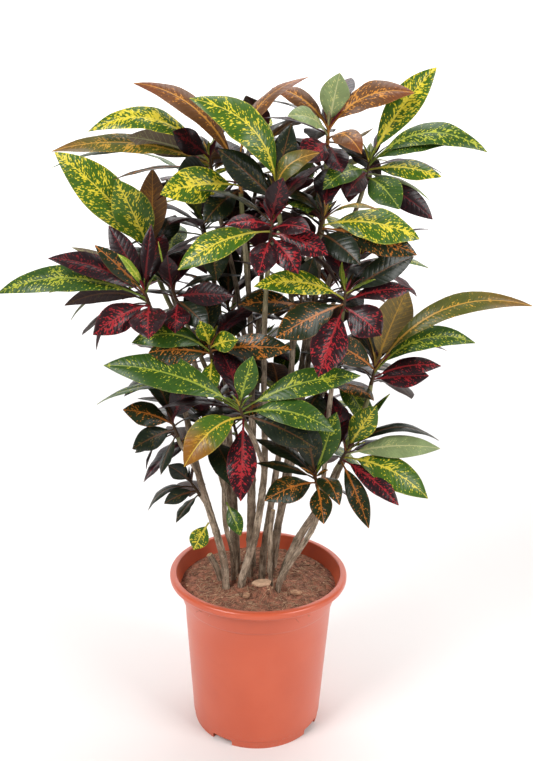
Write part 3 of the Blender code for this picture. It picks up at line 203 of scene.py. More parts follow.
CROWNS = [
    Crown("crown_left_low", (-13.4, -9, 61), rows(
        (G, -30.2, -9, 60.2, 3.8, 0.2, FRONT_UP), (M, -23.6, -11, 64.5, 3.2, 0.16, FRONT_UP),
        (R, -18.5, -13, 56.4, 3.6, 0.12), (D, -22.8, -8, 58.8, 2.4, 0.2, BACK),
        (G, -25.6, -4, 59.7, 2.6, 0.15, Face.BACK_UP), (G, -23.4, -3, 56.2, 2.4, 0.25, UP),
        (D, -22.8, -6, 61.8, 1.8, 0.1, UP), (R, -12.2, -14.5, 56.4, 4.4, 0.15),
        (M, -20.2, -4, 52.8, 2.6, 0.3, UP), (M, -17.6, -7, 67.9, 2.8, 0.05),
        (P, -22.6, -4, 65.1, 1.6, 0.1, BACK), (S, -18.4, -11, 66.0, 2.2, 0.06),
        (L, -15.9, -11, 65.1, 1.4, 0.1, Face.RIGHT), (M, -12.6, -8, 68.2, 1.7, 0.05),
    ), 2, REAR),
    Crown("crown_left_inner", (-10.6, -7, 61), rows(
        (M, -10.6, -10, 64.9, 2.4, 0.1), (M, -3.2, -11, 60.6, 2.8, 0.08),
        (R, -9.6, -12, 56.6, 3.4, 0.15), (L, -11.6, -10, 66.4, 1.2, 0.05, LEFT),
        (D, -6.0, -11, 57.0, 3.0, 0.1),
    ), 5, REAR),
    Crown("crown_left_mid", (-13.4, -3, 64.5), rows(
        (Y, -23.9, -5, 75.9, 5.2, 0.16), (Y, -16.6, -7, 73.0, 4.8, 0.05),
        (B, -12.9, -4, 74.3, 3.6, 0.04, BACK),
    ), 6, REAR),
    Crown("crown_left_high", (-6.5, -3, 76), rows(
        (Y, -20.0, -5, 78.2, 3.6, 0.33, FRONT_UP), (O, -24.5, -4, 76.0, 3.0, 0.14, FRONT_UP),
        (G, -24.6, -5, 74.2, 2.8, 0.16, UP), (P, -15.7, -5, 77.7, 3.2, 0.1, BACK),
        (S, -17.3, -5, 73.0, 1.8, 0.1, UP), (M, -10.5, -6, 78.3, 3.0, 0.05),
        (D, -9.5, -8, 74.0, 3.0, 0.1),
    ), 4, REAR),
    Crown("crown_top_left", (-2.8, -6, 74.2), rows(
        (Y, -11.4, -9, 71.5, 4.4, 0.12), (B, 4.7, -5, 84.4, 3.2, 0.28, LEFT),
        (B, -15.0, -3.5, 83.6, 2.9, 0.26, FRONT_UP), (D, -6.5, -10, 68.5, 3.2, 0.15),
    ), 5, REAR),
    Crown("crown_top_mid", (1.3, -7, 72), rows(
        (Y, -8.1, -9, 81.6, 4.9, 0.33, FRONT_UP), (O, 6.0, -9, 76.2, 2.8, 0.35, FRONT_UP),
        (D, -5.0, -9.5, 76.4, 3.4, 0.05), (D, 3.2, -9, 79.0, 3.0, 0.08),
    ), 4, REAR),
    Crown("crown_top_right_inner", (7.3, -3, 79.5), rows(
        (P, 8.3, -4, 85.0, 3.6, 0.05), (B, 16.2, -5, 83.8, 4.0, 0.26, FRONT_UP),
        (P, 2.5, -7, 80.1, 3.2, 0.2, FRONT_UP), (B, 0.7, -1, 83.6, 2.6, 0.2, FRONT_UP),
        (B, 10.7, -8, 76.2, 3.2, 0.3, FRONT_UP), (R, 4.2, -8, 75.2, 3.6, 0.12),
        (M, 8.2, -8, 74.2, 3.0, 0.12), (M, -0.4, 1, 80.4, 1.8, 0.1, UP),
    ), 4, REAR),
    Crown("crown_right_high", (12.4, -2, 75.8), rows(
        (Y, 19.5, -2, 86.0, 3.8, 0.14), (G, 25.3, -5, 76.7, 3.6, 0.32, FRONT_UP),
        (G, 20.2, -6, 77.4, 2.8, 0.18, FRONT_UP), (M, 21.4, 0, 74.3, 2.0, 0.18, UP),
        (Y, 20.5, -4, 73.9, 3.2, 0.12, FRONT_UP), (G, 15.2, -8, 70.3, 4.0, 0.15),
        (P, 19.7, -2, 71.2, 1.8, 0.15, UP), (M, 20.0, -3, 69.0, 3.0, 0.12),
        (G, 6.6, -8, 72.3, 3.2, 0.18, FRONT_UP), (M, 9.2, -8, 71.6, 2.8, 0.12),
    ), 4, REAR),
    Crown("crown_centre_right", (6.8, -9, 69.6), rows(
        (Y, 17.3, -10, 67.2, 5.0, 0.16, FRONT_UP), (S, 16.8, -11.5, 65.4, 3.6, 0.1),
        (O, 12.5, -11, 70.3, 2.0, 0.25, UP), (D, 10.5, -13, 64.6, 3.2, 0.12),
    ), 4, REAR),
    Crown("crown_right_inner", (9.5, -9, 61.3), rows(
        (Y, -0.9, -12, 61.9, 3.4, 0.18, FRONT_UP), (S, 1.6, -13, 56.4, 4.2, 0.08),
        (R, 6.4, -13.5, 52.2, 4.4, 0.1), (D, 17.5, -6, 64.9, 3.2, 0.1),
        (D, 16.2, -7, 63.2, 2.4, 0.12, UP), (R, 17.5, -6.5, 61.2, 2.6, 0.1, FRONT_UP),
        (L, 8.8, -10, 64.5, 1.2, 0.08, LEFT), (L, 12.6, -10, 62.7, 1.4, 0.08, UP),
        (R, 13.4, -11.5, 56.6, 4.4, 0.1),
    ), 4, REAR),
    Crown("crown_centre", (1.0, -11, 69.2), rows(
        (Y, -9.1, -13, 63.7, 4.0, 0.16, FRONT_UP), (R, -0.4, -15, 63.4, 3.2, 0.15),
        (R, 3.2, -14.5, 63.6, 3.0, 0.15), (R, -3.9, -14, 68.6, 2.2, 0.12, FRONT_UP),
        (R, 5.0, -14, 68.2, 2.8, 0.15, FRONT_UP), (R, 7.0, -13.5, 65.6, 3.0, 0.12),
        (M, 2.0, -14, 73.5, 2.6, 0.1),
    ), 4, REAR),
    Crown("crown_right_mid", (14, -4, 51.5), rows(
        (O, 17.2, -4.5, 61.0, 5.0, 0.04, BACK), (O, 8.4, -9, 59.6, 1.4, 0.2, UP),
        (O, 32.2, -5, 59.2, 3.0, 0.34, FRONT_UP), (G, 26.0, -4, 54.4, 3.2, 0.34, FRONT_UP),
        (M, 23.0, -2, 53.0, 2.2, 0.34, UP), (R, 21.8, -5, 51.7, 2.6, 0.16, FRONT_UP),
        (R, 20.2, -6, 50.4, 3.0, 0.06), (S, 7.5, -9, 55.4, 3.4, 0.08),
    ), 5, REAR),
    Crown("crown_low_centre", (-2.4, -12, 48.4), rows(
        (G, -17.9, -11, 52.5, 4.6, 0.16, FRONT_UP), (G, -19.5, -8, 47.0, 2.4, 0.22, UP),
        (T, -8.3, -16, 42.3, 4.2, 0.3, FRONT_UP), (G, 11.4, -11, 51.8, 3.6, 0.14, FRONT_UP),
        (G, -0.9, -13, 54.3, 2.8, 0.08), (G, 8.4, -14, 46.0, 3.6, 0.22, FRONT_UP),
        (R, -2.0, -16, 38.3, 3.6, 0.12), (D, 6.2, -13, 43.8, 3.8, 0.14),
    ), 4, REAR),
    Crown("crown_mid_left", (-6, -9, 55), rows(
        (S, -12.9, -11, 54.2, 4.4, 0.1, FRONT_UP), (G, -15.0, -9, 54.1, 3.6, 0.3, FRONT_UP),
        (Y, -7.4, -12, 58.0, 2.2, 0.05), (Y, -2.6, -12, 55.9, 2.6, 0.1),
        (Y, -5.8, -12, 49.4, 2.4, 0.12), (S, 3.4, -11, 54.7, 3.2, 0.1),
    ), 5, REAR),
    Crown("crown_mid_centre", (4.6, -6, 60.4), rows(
        (S, -2.2, -9, 59.2, 3.0, 0.1), (D, 3.0, -10, 65.6, 3.0, 0.05), (D, 6.0, -10, 65.0, 2.6, 0.05),
    ), 5, (0, 180)),
    Crown("crown_low_right_front", (6.6, -10, 39.3), rows(
        (S, 0.7, -15, 38.0, 3.6, 0.12, FRONT_UP), (D, -0.4, -9.5, 40.5, 2.2, 0.12, UP),
        (D, 5.2, -9.5, 46.0, 3.2, 0.05), (G, 9.0, -9, 46.8, 3.2, 0.05),
        (S, 9.0, -17, 38.5, 2.8, 0.25, UP), (S, 7.6, -13.5, 34.6, 2.8, 0.12),
    ), 4, REAR),
    Crown("crown_low_right", (10.8, -6, 41.3), rows(
        (Y, 20.7, -8, 35.7, 4.4, 0.2, FRONT_UP), (P, 22.2, -6, 41.5, 3.2, 0.12, FRONT_UP),
        (D, 22.4, -4, 41.9, 2.2, 0.3, UP), (R, 16.8, -10, 35.6, 2.8, 0.12, FRONT_UP),
        (S, 13.2, -11, 33.0, 2.6, 0.12), (Y, 13.8, -8, 47.4, 3.4, 0.05),
        (G, 13.4, -5, 32.0, 1.4, 0.1, UP), (G, 15.6, -6, 48.4, 1.6, 0.08, UP),
    ), 4, REAR),
    Crown("crown_low_left", (-10.8, -6.5, 44.8), rows(
        (S, -16.4, -8, 46.4, 3.4, 0.12, FRONT_UP), (D, -15.2, -9, 41.8, 3.0, 0.12),
        (D, -15.6, -5, 39.9, 2.4, 0.15, LEFT), (D, -11.9, -9, 38.6, 2.6, 0.1, LEFT),
        (D, -14.6, -3, 37.0, 1.8, 0.2, UP), (M, -8.0, -8, 50.0, 3.2, 0.08),
    ), 5, REAR),
    Crown("crown_base_left", (-9.2, -1.4, 35), rows(
        (D, -14.6, -2, 30.9, 2.0, 0.3, UP), (D, -12.4, -2.5, 32.2, 2.0, 0.2),
        (D, -10.6, -5.0, 30.6, 2.4, 0.1, LEFT), (D, -11.8, -2.5, 37.4, 2.4, 0.1),
    ), 1, REAR),
]

# Crowns of spiral leaves only, inside and behind: name, tip, number of leaves, their paints
PLAIN_CROWNS = (
    ("inner_left_high", (-7.6, 1.8, 68), 12, (D, M, G, M)),
    ("inner_top", (3.4, 1.2, 72), 12, (M, D, R, G)),
    ("inner_top_left", (-2.0, 1.8, 67), 11, (M, R, D, D)),
    ("inner_left", (-4.6, 1.6, 58), 12, (D, S, M, G)),
    ("inner_right", (8.6, 1.4, 61), 12, (M, D, S, R)),
    ("inner_left_low", (-7.2, -0.8, 43), 11, (D, S, M, D)),
    ("inner_mid_low", (2.2, 1.4, 47), 12, (D, S, G, M)),
    ("inner_right_low", (8.6, 1.0, 48.5), 11, (S, D, M, D)),
    ("back_left_low", (-11, 7, 50), 8, (G, D, M, S)),
    ("back_left_mid", (-13, 8, 62), 8, (M, R, G, D)),
    ("back_left_high", (-9, 7, 73), 8, (Y, G, B, M)),
    ("back_top", (0, 6, 78), 8, (G, B, Y, M)),
    ("back_right_high", (8, 8, 74), 8, (Y, G, M, O)),
    ("back_right_mid", (13, 7, 64), 8, (R, M, Y, D)),
    ("back_right_low", (11, 7, 49), 8, (G, D, R, S)),
    ("back_mid", (0, 12, 66), 8, (R, Y, M, G)),
    ("back_mid_low", (0, 10, 52), 8, (S, G, M, D)),
    ("back_base_left", (-4, 9, 40), 6, (D, G, M)),
    ("back_base_right", (6, 8, 40), 6, (G, S, R)),
)
CROWNS += [Crown(f"crown_{name}", tip, fill=count, fill_paints=paints)
           for name, tip, count, paints in PLAIN_CROWNS]


STEMS = [
    Stem("stem_left_front", [(-4.2, -3, 16.5), (-4.3, -3, 21), (-4.6, -3, 24.5), (-5.6, -3, 28.5),
                             (-6.6, -3.1, 32), (-7.7, -3.2, 36), (-8.7, -3.6, 41),
                             (-9.6, -4.2, 46), (-12, -7, 55)], (11, 5.5), "crown_left_low",
         [Branch(4, [], (6, 5), "crown_base_left"),
          Branch(5, [(-8.8, -4.4, 39), (-9.9, -5.5, 41.4)], (6, 5), "crown_low_left")]),
    Stem("stem_left_thin", [(-3.5, -1.4, 16.5), (-3.4, -1.5, 24), (-4.4, -2, 29), (-4.6, -2.2, 34),
                            (-4.6, -2.4, 41), (-6, -3, 48), (-8.5, -4.8, 55)], (7.5, 5),
         "crown_left_inner",
         [Branch(3, [], (5.5, 5), "crown_inner_left_low"),
          Branch(4, [(-5, -5, 47), (-5.6, -7.6, 51.2)], (6, 5), "crown_mid_left")]),
    Stem("stem_left_back", [(-2.9, 0.8, 16.5), (-3.2, 1, 24), (-4.5, 1.4, 34), (-5.6, 1.3, 39),
                            (-7.5, 1, 46), (-9.2, 0.4, 52), (-12.2, -1.8, 60)], (10, 5.5),
         "crown_left_mid",
         [Branch(3, [(-8, 4, 44), (-9.8, 6, 46.6)], (6, 5), "crown_back_left_low"),
          Branch(5, [(-10.8, 3.6, 55.6), (-12.2, 6.4, 58.4)], (6, 5), "crown_back_left_mid")]),
    Stem("stem_front", [(-2.3, -2.8, 16.5), (-2.2, -2.9, 21), (-1.4, -3, 24.5), (-0.5, -3.2, 28),
                        (0.1, -3.4, 32), (0.6, -3.6, 37.5), (0.5, -4.6, 44), (0.3, -6.2, 52),
                        (0.4, -8.6, 60), (0.8, -10.4, 66)], (11, 5), "crown_centre",
         [Branch(5, [(-0.5, -7, 42), (-1.7, -10.4, 45.6)], (6.5, 5), "crown_low_centre")]),
    Stem("stem_centre", [(-1.2, -0.2, 16.5), (-1.2, -0.3, 24), (-1.2, -0.5, 34), (-1.2, -0.6, 47),
                         (-1.6, -1.5, 58), (-2.4, -4.2, 68)], (10, 5.5), "crown_top_left",
         [Branch(3, [(-3.2, -0.8, 60), (-5.4, -1.8, 69.5)], (6.5, 5.5), "crown_left_high"),
          Branch(3, [(-2.4, 0.9, 52)], (5.5, 5), "crown_inner_left"),
          Branch(4, [], (5.5, 5), "crown_inner_top_left")]),
    Stem("stem_mid", [(0.4, -1.5, 16.5), (0.6, -1.6, 24), (1.4, -1.8, 31), (2.3, -2, 38),
                      (3.4, -2.6, 47), (3.8, -3, 53), (3.4, -4, 60), (2.2, -6, 67)], (10, 5.5),
         "crown_top_mid",
         [Branch(3, [], (5.5, 5), "crown_inner_mid_low"),
          Branch(5, [(4.6, -4.6, 57)], (5.5, 5), "crown_mid_centre"),
          Branch(6, [(4.8, -5.8, 63.6), (5.9, -7.5, 66)], (6, 5), "crown_centre_right")]),
    Stem("stem_snapped", [(1.9, -2.6, 16.5), (1.6, -2.8, 24), (1.5, -3, 28), (1.8, -3.1, 31.7)],
         (7, 5.5)),
    Stem("stem_right_back", [(1.5, 0.5, 16.5), (1.9, 0.5, 24), (3.1, 0.5, 31), (4.2, 0.4, 38),
                             (5.8, -0.2, 50), (6.2, -0.5, 55), (6.9, -1.4, 65), (7.2, -2.4, 74)],
         (11, 5.5), "crown_top_right_inner",
         [Branch(3, [(6.2, 0.8, 42)], (5.5, 5), "crown_inner_right_low"),
          Branch(4, [], (5.5, 5), "crown_inner_right"),
          Branch(5, [(9, -0.8, 64), (11.4, -1.5, 71)], (6.5, 5.5), "crown_right_high"),
          Branch(5, [(4.8, 1.2, 62)], (5.5, 5), "crown_inner_top")]),
    Stem("stem_right", [(2.9, -1, 16.5), (3.3, -1.2, 21.5), (5, -1.8, 26.6), (7.2, -2.5, 31),
                        (8.2, -2.8, 33.2), (9.6, -3.2, 36.4), (11.6, -3.7, 41.5), (13.2, -4, 47)],
         (12, 5.5), "crown_right_mid",
         [Branch(4, [(9.4, -4.6, 37.6)], (6, 5), "crown_low_right")]),
    Stem("stem_right_front", [(2.0, -4, 16.5), (2.8, -4.1, 21.8), (4, -4.2, 24.5),
                              (5.8, -4.5, 27.7), (7.2, -4.9, 30.8), (7.8, -6, 34)], (9, 5),
         "crown_low_right_front",
         [Branch(4, [(8.0, -5.2, 37), (8.4, -5.2, 46), (9, -7.2, 55)], (6.5, 5),
                 "crown_right_inner")]),
    Stem("stem_back_mid", [(-0.8, 2.2, 16.5), (-0.9, 2.8, 25), (-1, 3.4, 31), (-1, 4.4, 41),
                           (-0.6, 6.4, 53), (-0.2, 10, 61)], (10, 5.5), "crown_back_mid",
         [Branch(2, [(-2.6, 6.4, 35.6)], (6, 5), "crown_back_base_left"),
          Branch(3, [(-0.4, 8.2, 47)], (6, 5), "crown_back_mid_low")]),
    Stem("stem_back_left", [(-2.8, 2.9, 16.5), (-3.5, 3.2, 30), (-4.6, 3.7, 44), (-5, 4, 50),
                            (-6, 4.8, 58), (-8.2, 6.3, 68)], (10, 5.5), "crown_back_left_high",
         [Branch(3, [(-3, 4.6, 62), (-1, 5.5, 72.5)], (6, 5), "crown_back_top"),
          Branch(4, [], (5.5, 5), "crown_inner_left_high")]),
    Stem("stem_back_right", [(1.6, 2.7, 16.5), (2.5, 3, 25), (3.1, 3.2, 31), (3.9, 3.6, 38),
                             (5.5, 4.6, 51), (7.2, 6.6, 66)], (10, 5.5), "crown_back_right_high",
         [Branch(2, [(4.9, 6, 36)], (6, 5), "crown_back_base_right"),
          Branch(3, [(8, 5.4, 44.4)], (6, 5), "crown_back_right_low"),
          Branch(4, [(9.6, 5.6, 58)], (6, 5), "crown_back_right_mid")]),
]

# Leaves that grow straight off a stem: piece name, stem, height in cm, leaf
LONE_LEAVES = (
    ("leaf_stem_left", "stem_left_front", 29.8, Leaf(Y, (-8.5, -3.4, 26.0), 2.7, 0.1)),
    ("leaf_stem_thin", "stem_left_thin", 32.4, Leaf(G, (-2.3, -5.2, 29.0), 2.2, 0.12)),
)
SAWN_SHOOT = Stem("stem_sawn_off", [(-4.6, -0.8, 18.0), (-5.4, -1.0, 21.6), (-6.6, -1.2, 24.3)],
                  (9, 8))
# Bark flakes on the soil: piece name, place, size, turn in degrees
CHIPS = (
    ("bark_chip_large", (0.5, -4.8), (2.7, 1.7, 0.5), 12),
    ("bark_chip_small", (-1.5, -5.4), (1.1, 0.9, 0.5), 50),
    ("bark_curl", (5.0, -4.4), (1.7, 0.8, 0.45), -15),
)


# Shaders --------------------------------------------------------------------------------------

Input = Union["Value", float, tuple]


class Value:
    """A value or colour in a shader, which combines by ordinary arithmetic."""

    def __init__(self, paint: "Shader", socket: bpy.types.NodeSocket) -> None:
        """Wrap an output socket.

        Args:
            paint: The shader that the socket belongs to.
            socket: The output socket.
        """
        self.paint = paint
        self.socket = socket

    def math(self, operation: str, *others: Input) -> "Value":
        """Put this value and others through a Math node.

        Args:
            operation: The node's operation.
            others: The values after this one.

        Returns:
            The node's result.
        """
        return self.paint.node("ShaderNodeMath", {"operation": operation}, (self, *others))

    def __add__(self, other: Input) -> "Value":
        """Sum."""
        return self.math("ADD", other)

    def __sub__(self, other: Input) -> "Value":
        """Difference."""
        return self.math("SUBTRACT", other)

    def __rsub__(self, other: Input) -> "Value":
        """Difference with the number first."""
        return self.paint.node("ShaderNodeMath", {"operation": "SUBTRACT"}, (other, self))

    def __mul__(self, other: Input) -> "Value":
        """Product."""
        return self.math("MULTIPLY", other)

    __radd__ = __add__
    __rmul__ = __mul__

    def __abs__(self) -> "Value":
        """Distance from nought."""
        return self.math("ABSOLUTE")

    def ramp(self, low: float, high: float) -> "Value":
        """Rise smoothly from 0 at one value to 1 at another, or fall if low is the greater.

        Args:
            low: Value where the result is 0.
            high: Value where the result is 1.

        Returns:
            The smooth step.
        """
        if low > high:
            return 1.0 - self.ramp(high, low)
        return self.paint.node("ShaderNodeMapRange", {"interpolation_type": "SMOOTHSTEP"},
                               (self, low, high))


class Shader:
    """A procedural material under construction."""

    def __init__(self, name: str) -> None:
        """Start a material of that name with an empty Principled surface."""
        self.material = bpy.data.materials.new(name)
        self.material.use_nodes = True
        self.tree = self.material.node_tree
        self.surface = self.tree.nodes["Principled BSDF"]

    def node(self, kind: str, settings: dict, inputs: Union[tuple, dict],
             output: Union[int, str] = 0) -> Value:
        """Add a node.

        Args:
            kind: The node's type.
            settings: Values of its properties.
            inputs: Values or numbers for its inputs, in order or by name or index.
            output: Which output to hand back.

        Returns:
            The chosen output.
        """
        made = self.tree.nodes.new(kind)
        for key, setting in settings.items():
            setattr(made, key, setting)
        pairs = inputs.items() if isinstance(inputs, dict) else enumerate(inputs)
        for key, given in pairs:
            self.feed(made.inputs[key], given)
        return Value(self, made.outputs[output])

    def feed(self, socket: bpy.types.NodeSocket, given: Input) -> None:
        """Link a value to an input, or set a number or colour on it.

        Args:
            socket: The input.
            given: What it gets.
        """
        if isinstance(given, Value):
            self.tree.links.new(given.socket, socket)
        elif isinstance(given, tuple) and socket.type == "RGBA":
            socket.default_value = (*given, 1.0)
        else:
            socket.default_value = given

    def mix(self, share: Input, one: Input, other: Input) -> Value:
        """Blend two colours.

        Args:
            share: How much of the second, from 0 to 1.
            one: First colour.
            other: Second colour.

        Returns:
            The blended colour.
        """
        return self.node("ShaderNodeMix", {"data_type": "RGBA"}, {0: share, 6: one, 7: other}, 2)

    def attribute(self, name: str, part: str = "Fac") -> Value:
        """Read a value stored on the mesh.

        Args:
            name: The attribute's name.
            part: The node's output to use.

        Returns:
            The stored value.
        """
        return self.node("ShaderNodeAttribute", {"attribute_name": name}, (), part)

    def split(self, vector: Value) -> tuple[Value, Value, Value]:
        """The three parts of a vector."""
        parts = self.tree.nodes.new("ShaderNodeSeparateXYZ")
        self.feed(parts.inputs[0], vector)
        return tuple(Value(self, socket) for socket in parts.outputs)

    def join(self, x: Input, y: Input, z: Input) -> Value:
        """A vector made of three values."""
        return self.node("ShaderNodeCombineXYZ", {}, (x, y, z))

    def place(self) -> Value:
        """The point on the surface, in metres."""
        return self.node("ShaderNodeTexCoord", {}, (), "Object")

    def noise(self, where: Value, scale: float, detail: float = 3.0,
              rough: float = 0.55) -> Value:
        """Soft noise.

        Args:
            where: The point to take it at.
            scale: Features in each unit of length.
            detail: Number of finer layers.
            rough: Strength of the finer layers.

        Returns:
            A value about 0.5.
        """
        return self.node("ShaderNodeTexNoise", {},
                         {"Vector": where, "Scale": scale, "Detail": detail, "Roughness": rough})

    def cells(self, where: Value, scale: float) -> Value:
        """Distance to the nearest point of a scattered set.

        Args:
            where: The point to take it at.
            scale: Points in each unit of length.

        Returns:
            The distance, 0 at a point.
        """
        return self.node("ShaderNodeTexVoronoi", {}, {"Vector": where, "Scale": scale})

    def stretch(self, vector: Value, scale: tuple[float, float, float]) -> Value:
        """A vector with each part multiplied by its own number."""
        return self.node("ShaderNodeVectorMath", {"operation": "MULTIPLY"}, (vector, scale))

    def finish(self, colour: Input, roughness: Input, height: Optional[Value] = None,
               depth: float = 0.3 * MM, coat: float = 0.0,
               shine: float = 0.5) -> bpy.types.Material:
        """Put the colour, roughness and relief on the surface.

        Args:
            colour: Base colour.
            roughness: Roughness.
            height: Relief from 0 to 1, if there is any.
            depth: Height of the relief in metres.
            coat: Weight of the clear gloss on top.
            shine: Strength of the mirror-like part, 0.5 for plain plastic.

        Returns:
            The finished material.
        """
        self.feed(self.surface.inputs["Base Color"], colour)
        self.feed(self.surface.inputs["Roughness"], roughness)
        self.surface.inputs["Metallic"].default_value = 0.0
        self.surface.inputs["Specular IOR Level"].default_value = shine
        self.surface.inputs["Coat Weight"].default_value = coat
        self.surface.inputs["Coat Roughness"].default_value = 0.25
        if height is not None:
            bump = self.node("ShaderNodeBump", {}, {"Strength": 1.0, "Distance": depth,
                                                    "Height": height})
            self.feed(self.surface.inputs["Normal"], bump)
        return self.material


Rate = tuple[float, float, float]


@dataclass(frozen=True)
class LeafPoint:
    """What the paint of a leaf knows about a point of its surface."""

    across: Value
    along: Value
    under: Value
    side: Value
    sweep: Value
    near: Value
    patch: Value
    blot: Value
    fine: Value
    dots: Value
    mood: Value


@dataclass(frozen=True)
class LeafPaint:
    """Paints leaves by their own coordinates, which are stored on the mesh.

    "leaf" holds the shares of half the width and of the length and the leaf's own number, and
    "flat" the same point laid out flat, in metres. A rate says how many features there are in a
    metre outwards along the side veins and across the leaf, and how far the number shifts them.
    """

    vein_slope: float = 0.8
    vein_gap: float = 7.0 * MM
    rib_half: float = 1.0 * MM
    rib_least: float = 0.25 * MM
    patch_rate: Rate = (62.0, 48.0, 61.0)
    blot_rate: Rate = (400.0, 290.0, 23.0)
    fine_rate: Rate = (900.0, 700.0, 7.0)
    dot_rate: Rate = (360.0, 290.0, 41.0)
    paler: float = 1.6
    relief: float = 0.20 * MM
    shine: float = 0.30

    def material(self, paint: Paint) -> bpy.types.Material:
        """The material of one sort of leaf.

        Args:
            paint: The sort of leaf.

        Returns:
            The material.
        """
        finish = paint.value
        shader = Shader(f"leaf_{paint.name.lower()}")
        spot = self.read(shader)
        fleck = self.flecks(spot, finish)
        rib_half = spot.along.ramp(1.05, 0.05) * self.rib_half + self.rib_least
        rib = (spot.side - rib_half).ramp(0.35 * MM, -0.25 * MM)
        band = abs((spot.sweep * (1 / self.vein_gap) + spot.fine * 0.12).math("FRACT") - 0.5)
        vein = band.ramp(0.085, 0.02)
        upper = self.upper(shader, spot, finish, fleck, rib, vein)
        lower = shader.mix(vein * 0.35, finish.under, finish.rib)
        lower = shader.mix(rib * 0.7, lower, finish.rib)
        lower = shader.mix(fleck * 0.35, lower, finish.fleck)
        colour = shader.mix(spot.under.ramp(0.4, 0.6), upper, lower)
        stalk = tuple(0.45 * rib_part + 0.5 * ground_part for rib_part, ground_part
                      in zip(finish.rib, finish.ground))
        colour = shader.mix(spot.along.ramp(0.19, 0.11), colour, stalk)
        roughness = spot.fine * 0.14 + finish.gloss - 0.05 + spot.under * 0.15
        quilt = band.ramp(0.0, 0.35) * (1.0 - rib) * 0.6 + spot.blot * 0.3
        return shader.finish(colour, roughness, quilt, self.relief, 0.0, self.shine)

    def read(self, shader: Shader) -> LeafPoint:
        """The leaf's own coordinates at a point, and the noises made from them."""
        across, along, seed = shader.split(shader.attribute("leaf", "Vector"))
        wide, far, _ = shader.split(shader.attribute("flat", "Vector"))
        side = abs(wide)
        sweep = far - side * self.vein_slope

        def spread(rate: Rate) -> Value:
            """The point stretched by a rate."""
            return shader.join(sweep * rate[0], wide * rate[1], seed * rate[2])

        return LeafPoint(across, along, shader.attribute("under"), side, sweep,
                         near=abs(across).ramp(0.75, 0.0),
                         patch=shader.noise(spread(self.patch_rate), 1.0, 2.0),
                         blot=shader.noise(spread(self.blot_rate), 1.0, 1.0, 0.5),
                         fine=shader.noise(spread(self.fine_rate), 1.0, 2.0),
                         dots=shader.cells(spread(self.dot_rate), 1.0),
                         mood=(seed * 7.31).math("FRACT") * 0.10 - 0.05)

    def flecks(self, spot: LeafPoint, finish: LeafFinish) -> Value:
        """Where the flecks are: ragged blots and small dots, in patches and near the midrib."""
        rich = spot.patch * 0.62 + spot.near * 0.10 + spot.mood + finish.flecks * 0.34
        blots = (spot.blot + rich).ramp(1.165, 1.205)
        kept = (spot.fine + 0.42).ramp(0.72, 0.84)
        return blots.math("MAXIMUM", (rich * 0.86 - spot.dots - 0.16).ramp(0.0, 0.07) * kept)

    def upper(self, shader: Shader, spot: LeafPoint, finish: LeafFinish, fleck: Value,
              rib: Value, vein: Value) -> Value:
        """Colour of the upper side.

        Args:
            shader: The material's shader.
            spot: The point of the leaf.
            finish: Its colours.
            fleck: Where the flecks are.
            rib: Where the midrib is.
            vein: Where the side veins are.

        Returns:
            The colour.
        """
        clouds = (spot.blot * 0.5 + spot.patch * 0.8 - 0.3).ramp(0.15, 0.75)
        ground = shader.mix(clouds, finish.ground, tuple(c * self.paler for c in finish.ground))
        tint = (spot.patch + spot.fine * 0.3).ramp(0.45, 0.85) * 0.6
        colour = shader.mix(fleck * 0.95, ground, shader.mix(tint, finish.fleck, finish.rib))
        if finish.tip:
            turned_part = (spot.along + spot.patch * 0.30).ramp(finish.tip_from + 0.05,
                                                               finish.tip_from + 0.42)
            colour = shader.mix(turned_part * 0.85, colour, finish.tip)
        colour = shader.mix(rib * 0.85, colour, finish.rib)
        colour = shader.mix(vein * spot.near * 0.12, colour, finish.rib)
        rim = (abs(spot.across) + spot.blot * 0.06).ramp(0.965, 1.0) * finish.flecks
        return shader.mix(rim * 0.5, colour, finish.rib)


def bark_material() -> bpy.types.Material:
    """Grey-brown ridged bark with dark furrows, greener towards the young ends."""
    shader = Shader("bark")
    along, around, young = shader.split(shader.attribute("bark", "Vector"))
    place = shader.place()
    ridge = shader.noise(shader.join(along * 60.0, around * 9.0, young * 2.0), 1.0, 5.0, 0.7)
    fine = shader.noise(shader.stretch(place, (900.0, 900.0, 260.0)), 1.0, 3.0, 0.6)
    blotch = shader.noise(place, 42.0, 3.0, 0.6)
    colour = shader.mix(blotch.ramp(0.35, 0.68), (0.225, 0.158, 0.105), (0.50, 0.395, 0.290))
    colour = shader.mix(ridge.ramp(0.58, 0.36), colour, (0.098, 0.072, 0.044))
    colour = shader.mix(fine.ramp(0.58, 0.72) * 0.6, colour, (0.62, 0.53, 0.40))
    colour = shader.mix(young.ramp(0.72, 1.0) * 0.75, colour, (0.17, 0.19, 0.055))
    height = ridge * 0.7 + fine * 0.3
    return shader.finish(colour, 0.80 + fine * 0.12, height, 1.1 * MM)


def cut_wood_material() -> bpy.types.Material:
    """The pale end of a sawn shoot."""
    shader = Shader("cut_wood")
    place = shader.place()
    grain = shader.noise(place, 700.0, 4.0)
    colour = shader.mix(grain.ramp(0.35, 0.65), (0.40, 0.25, 0.12), (0.66, 0.49, 0.28))
    return shader.finish(colour, 0.8 + grain * 0.1, grain, 0.3 * MM)


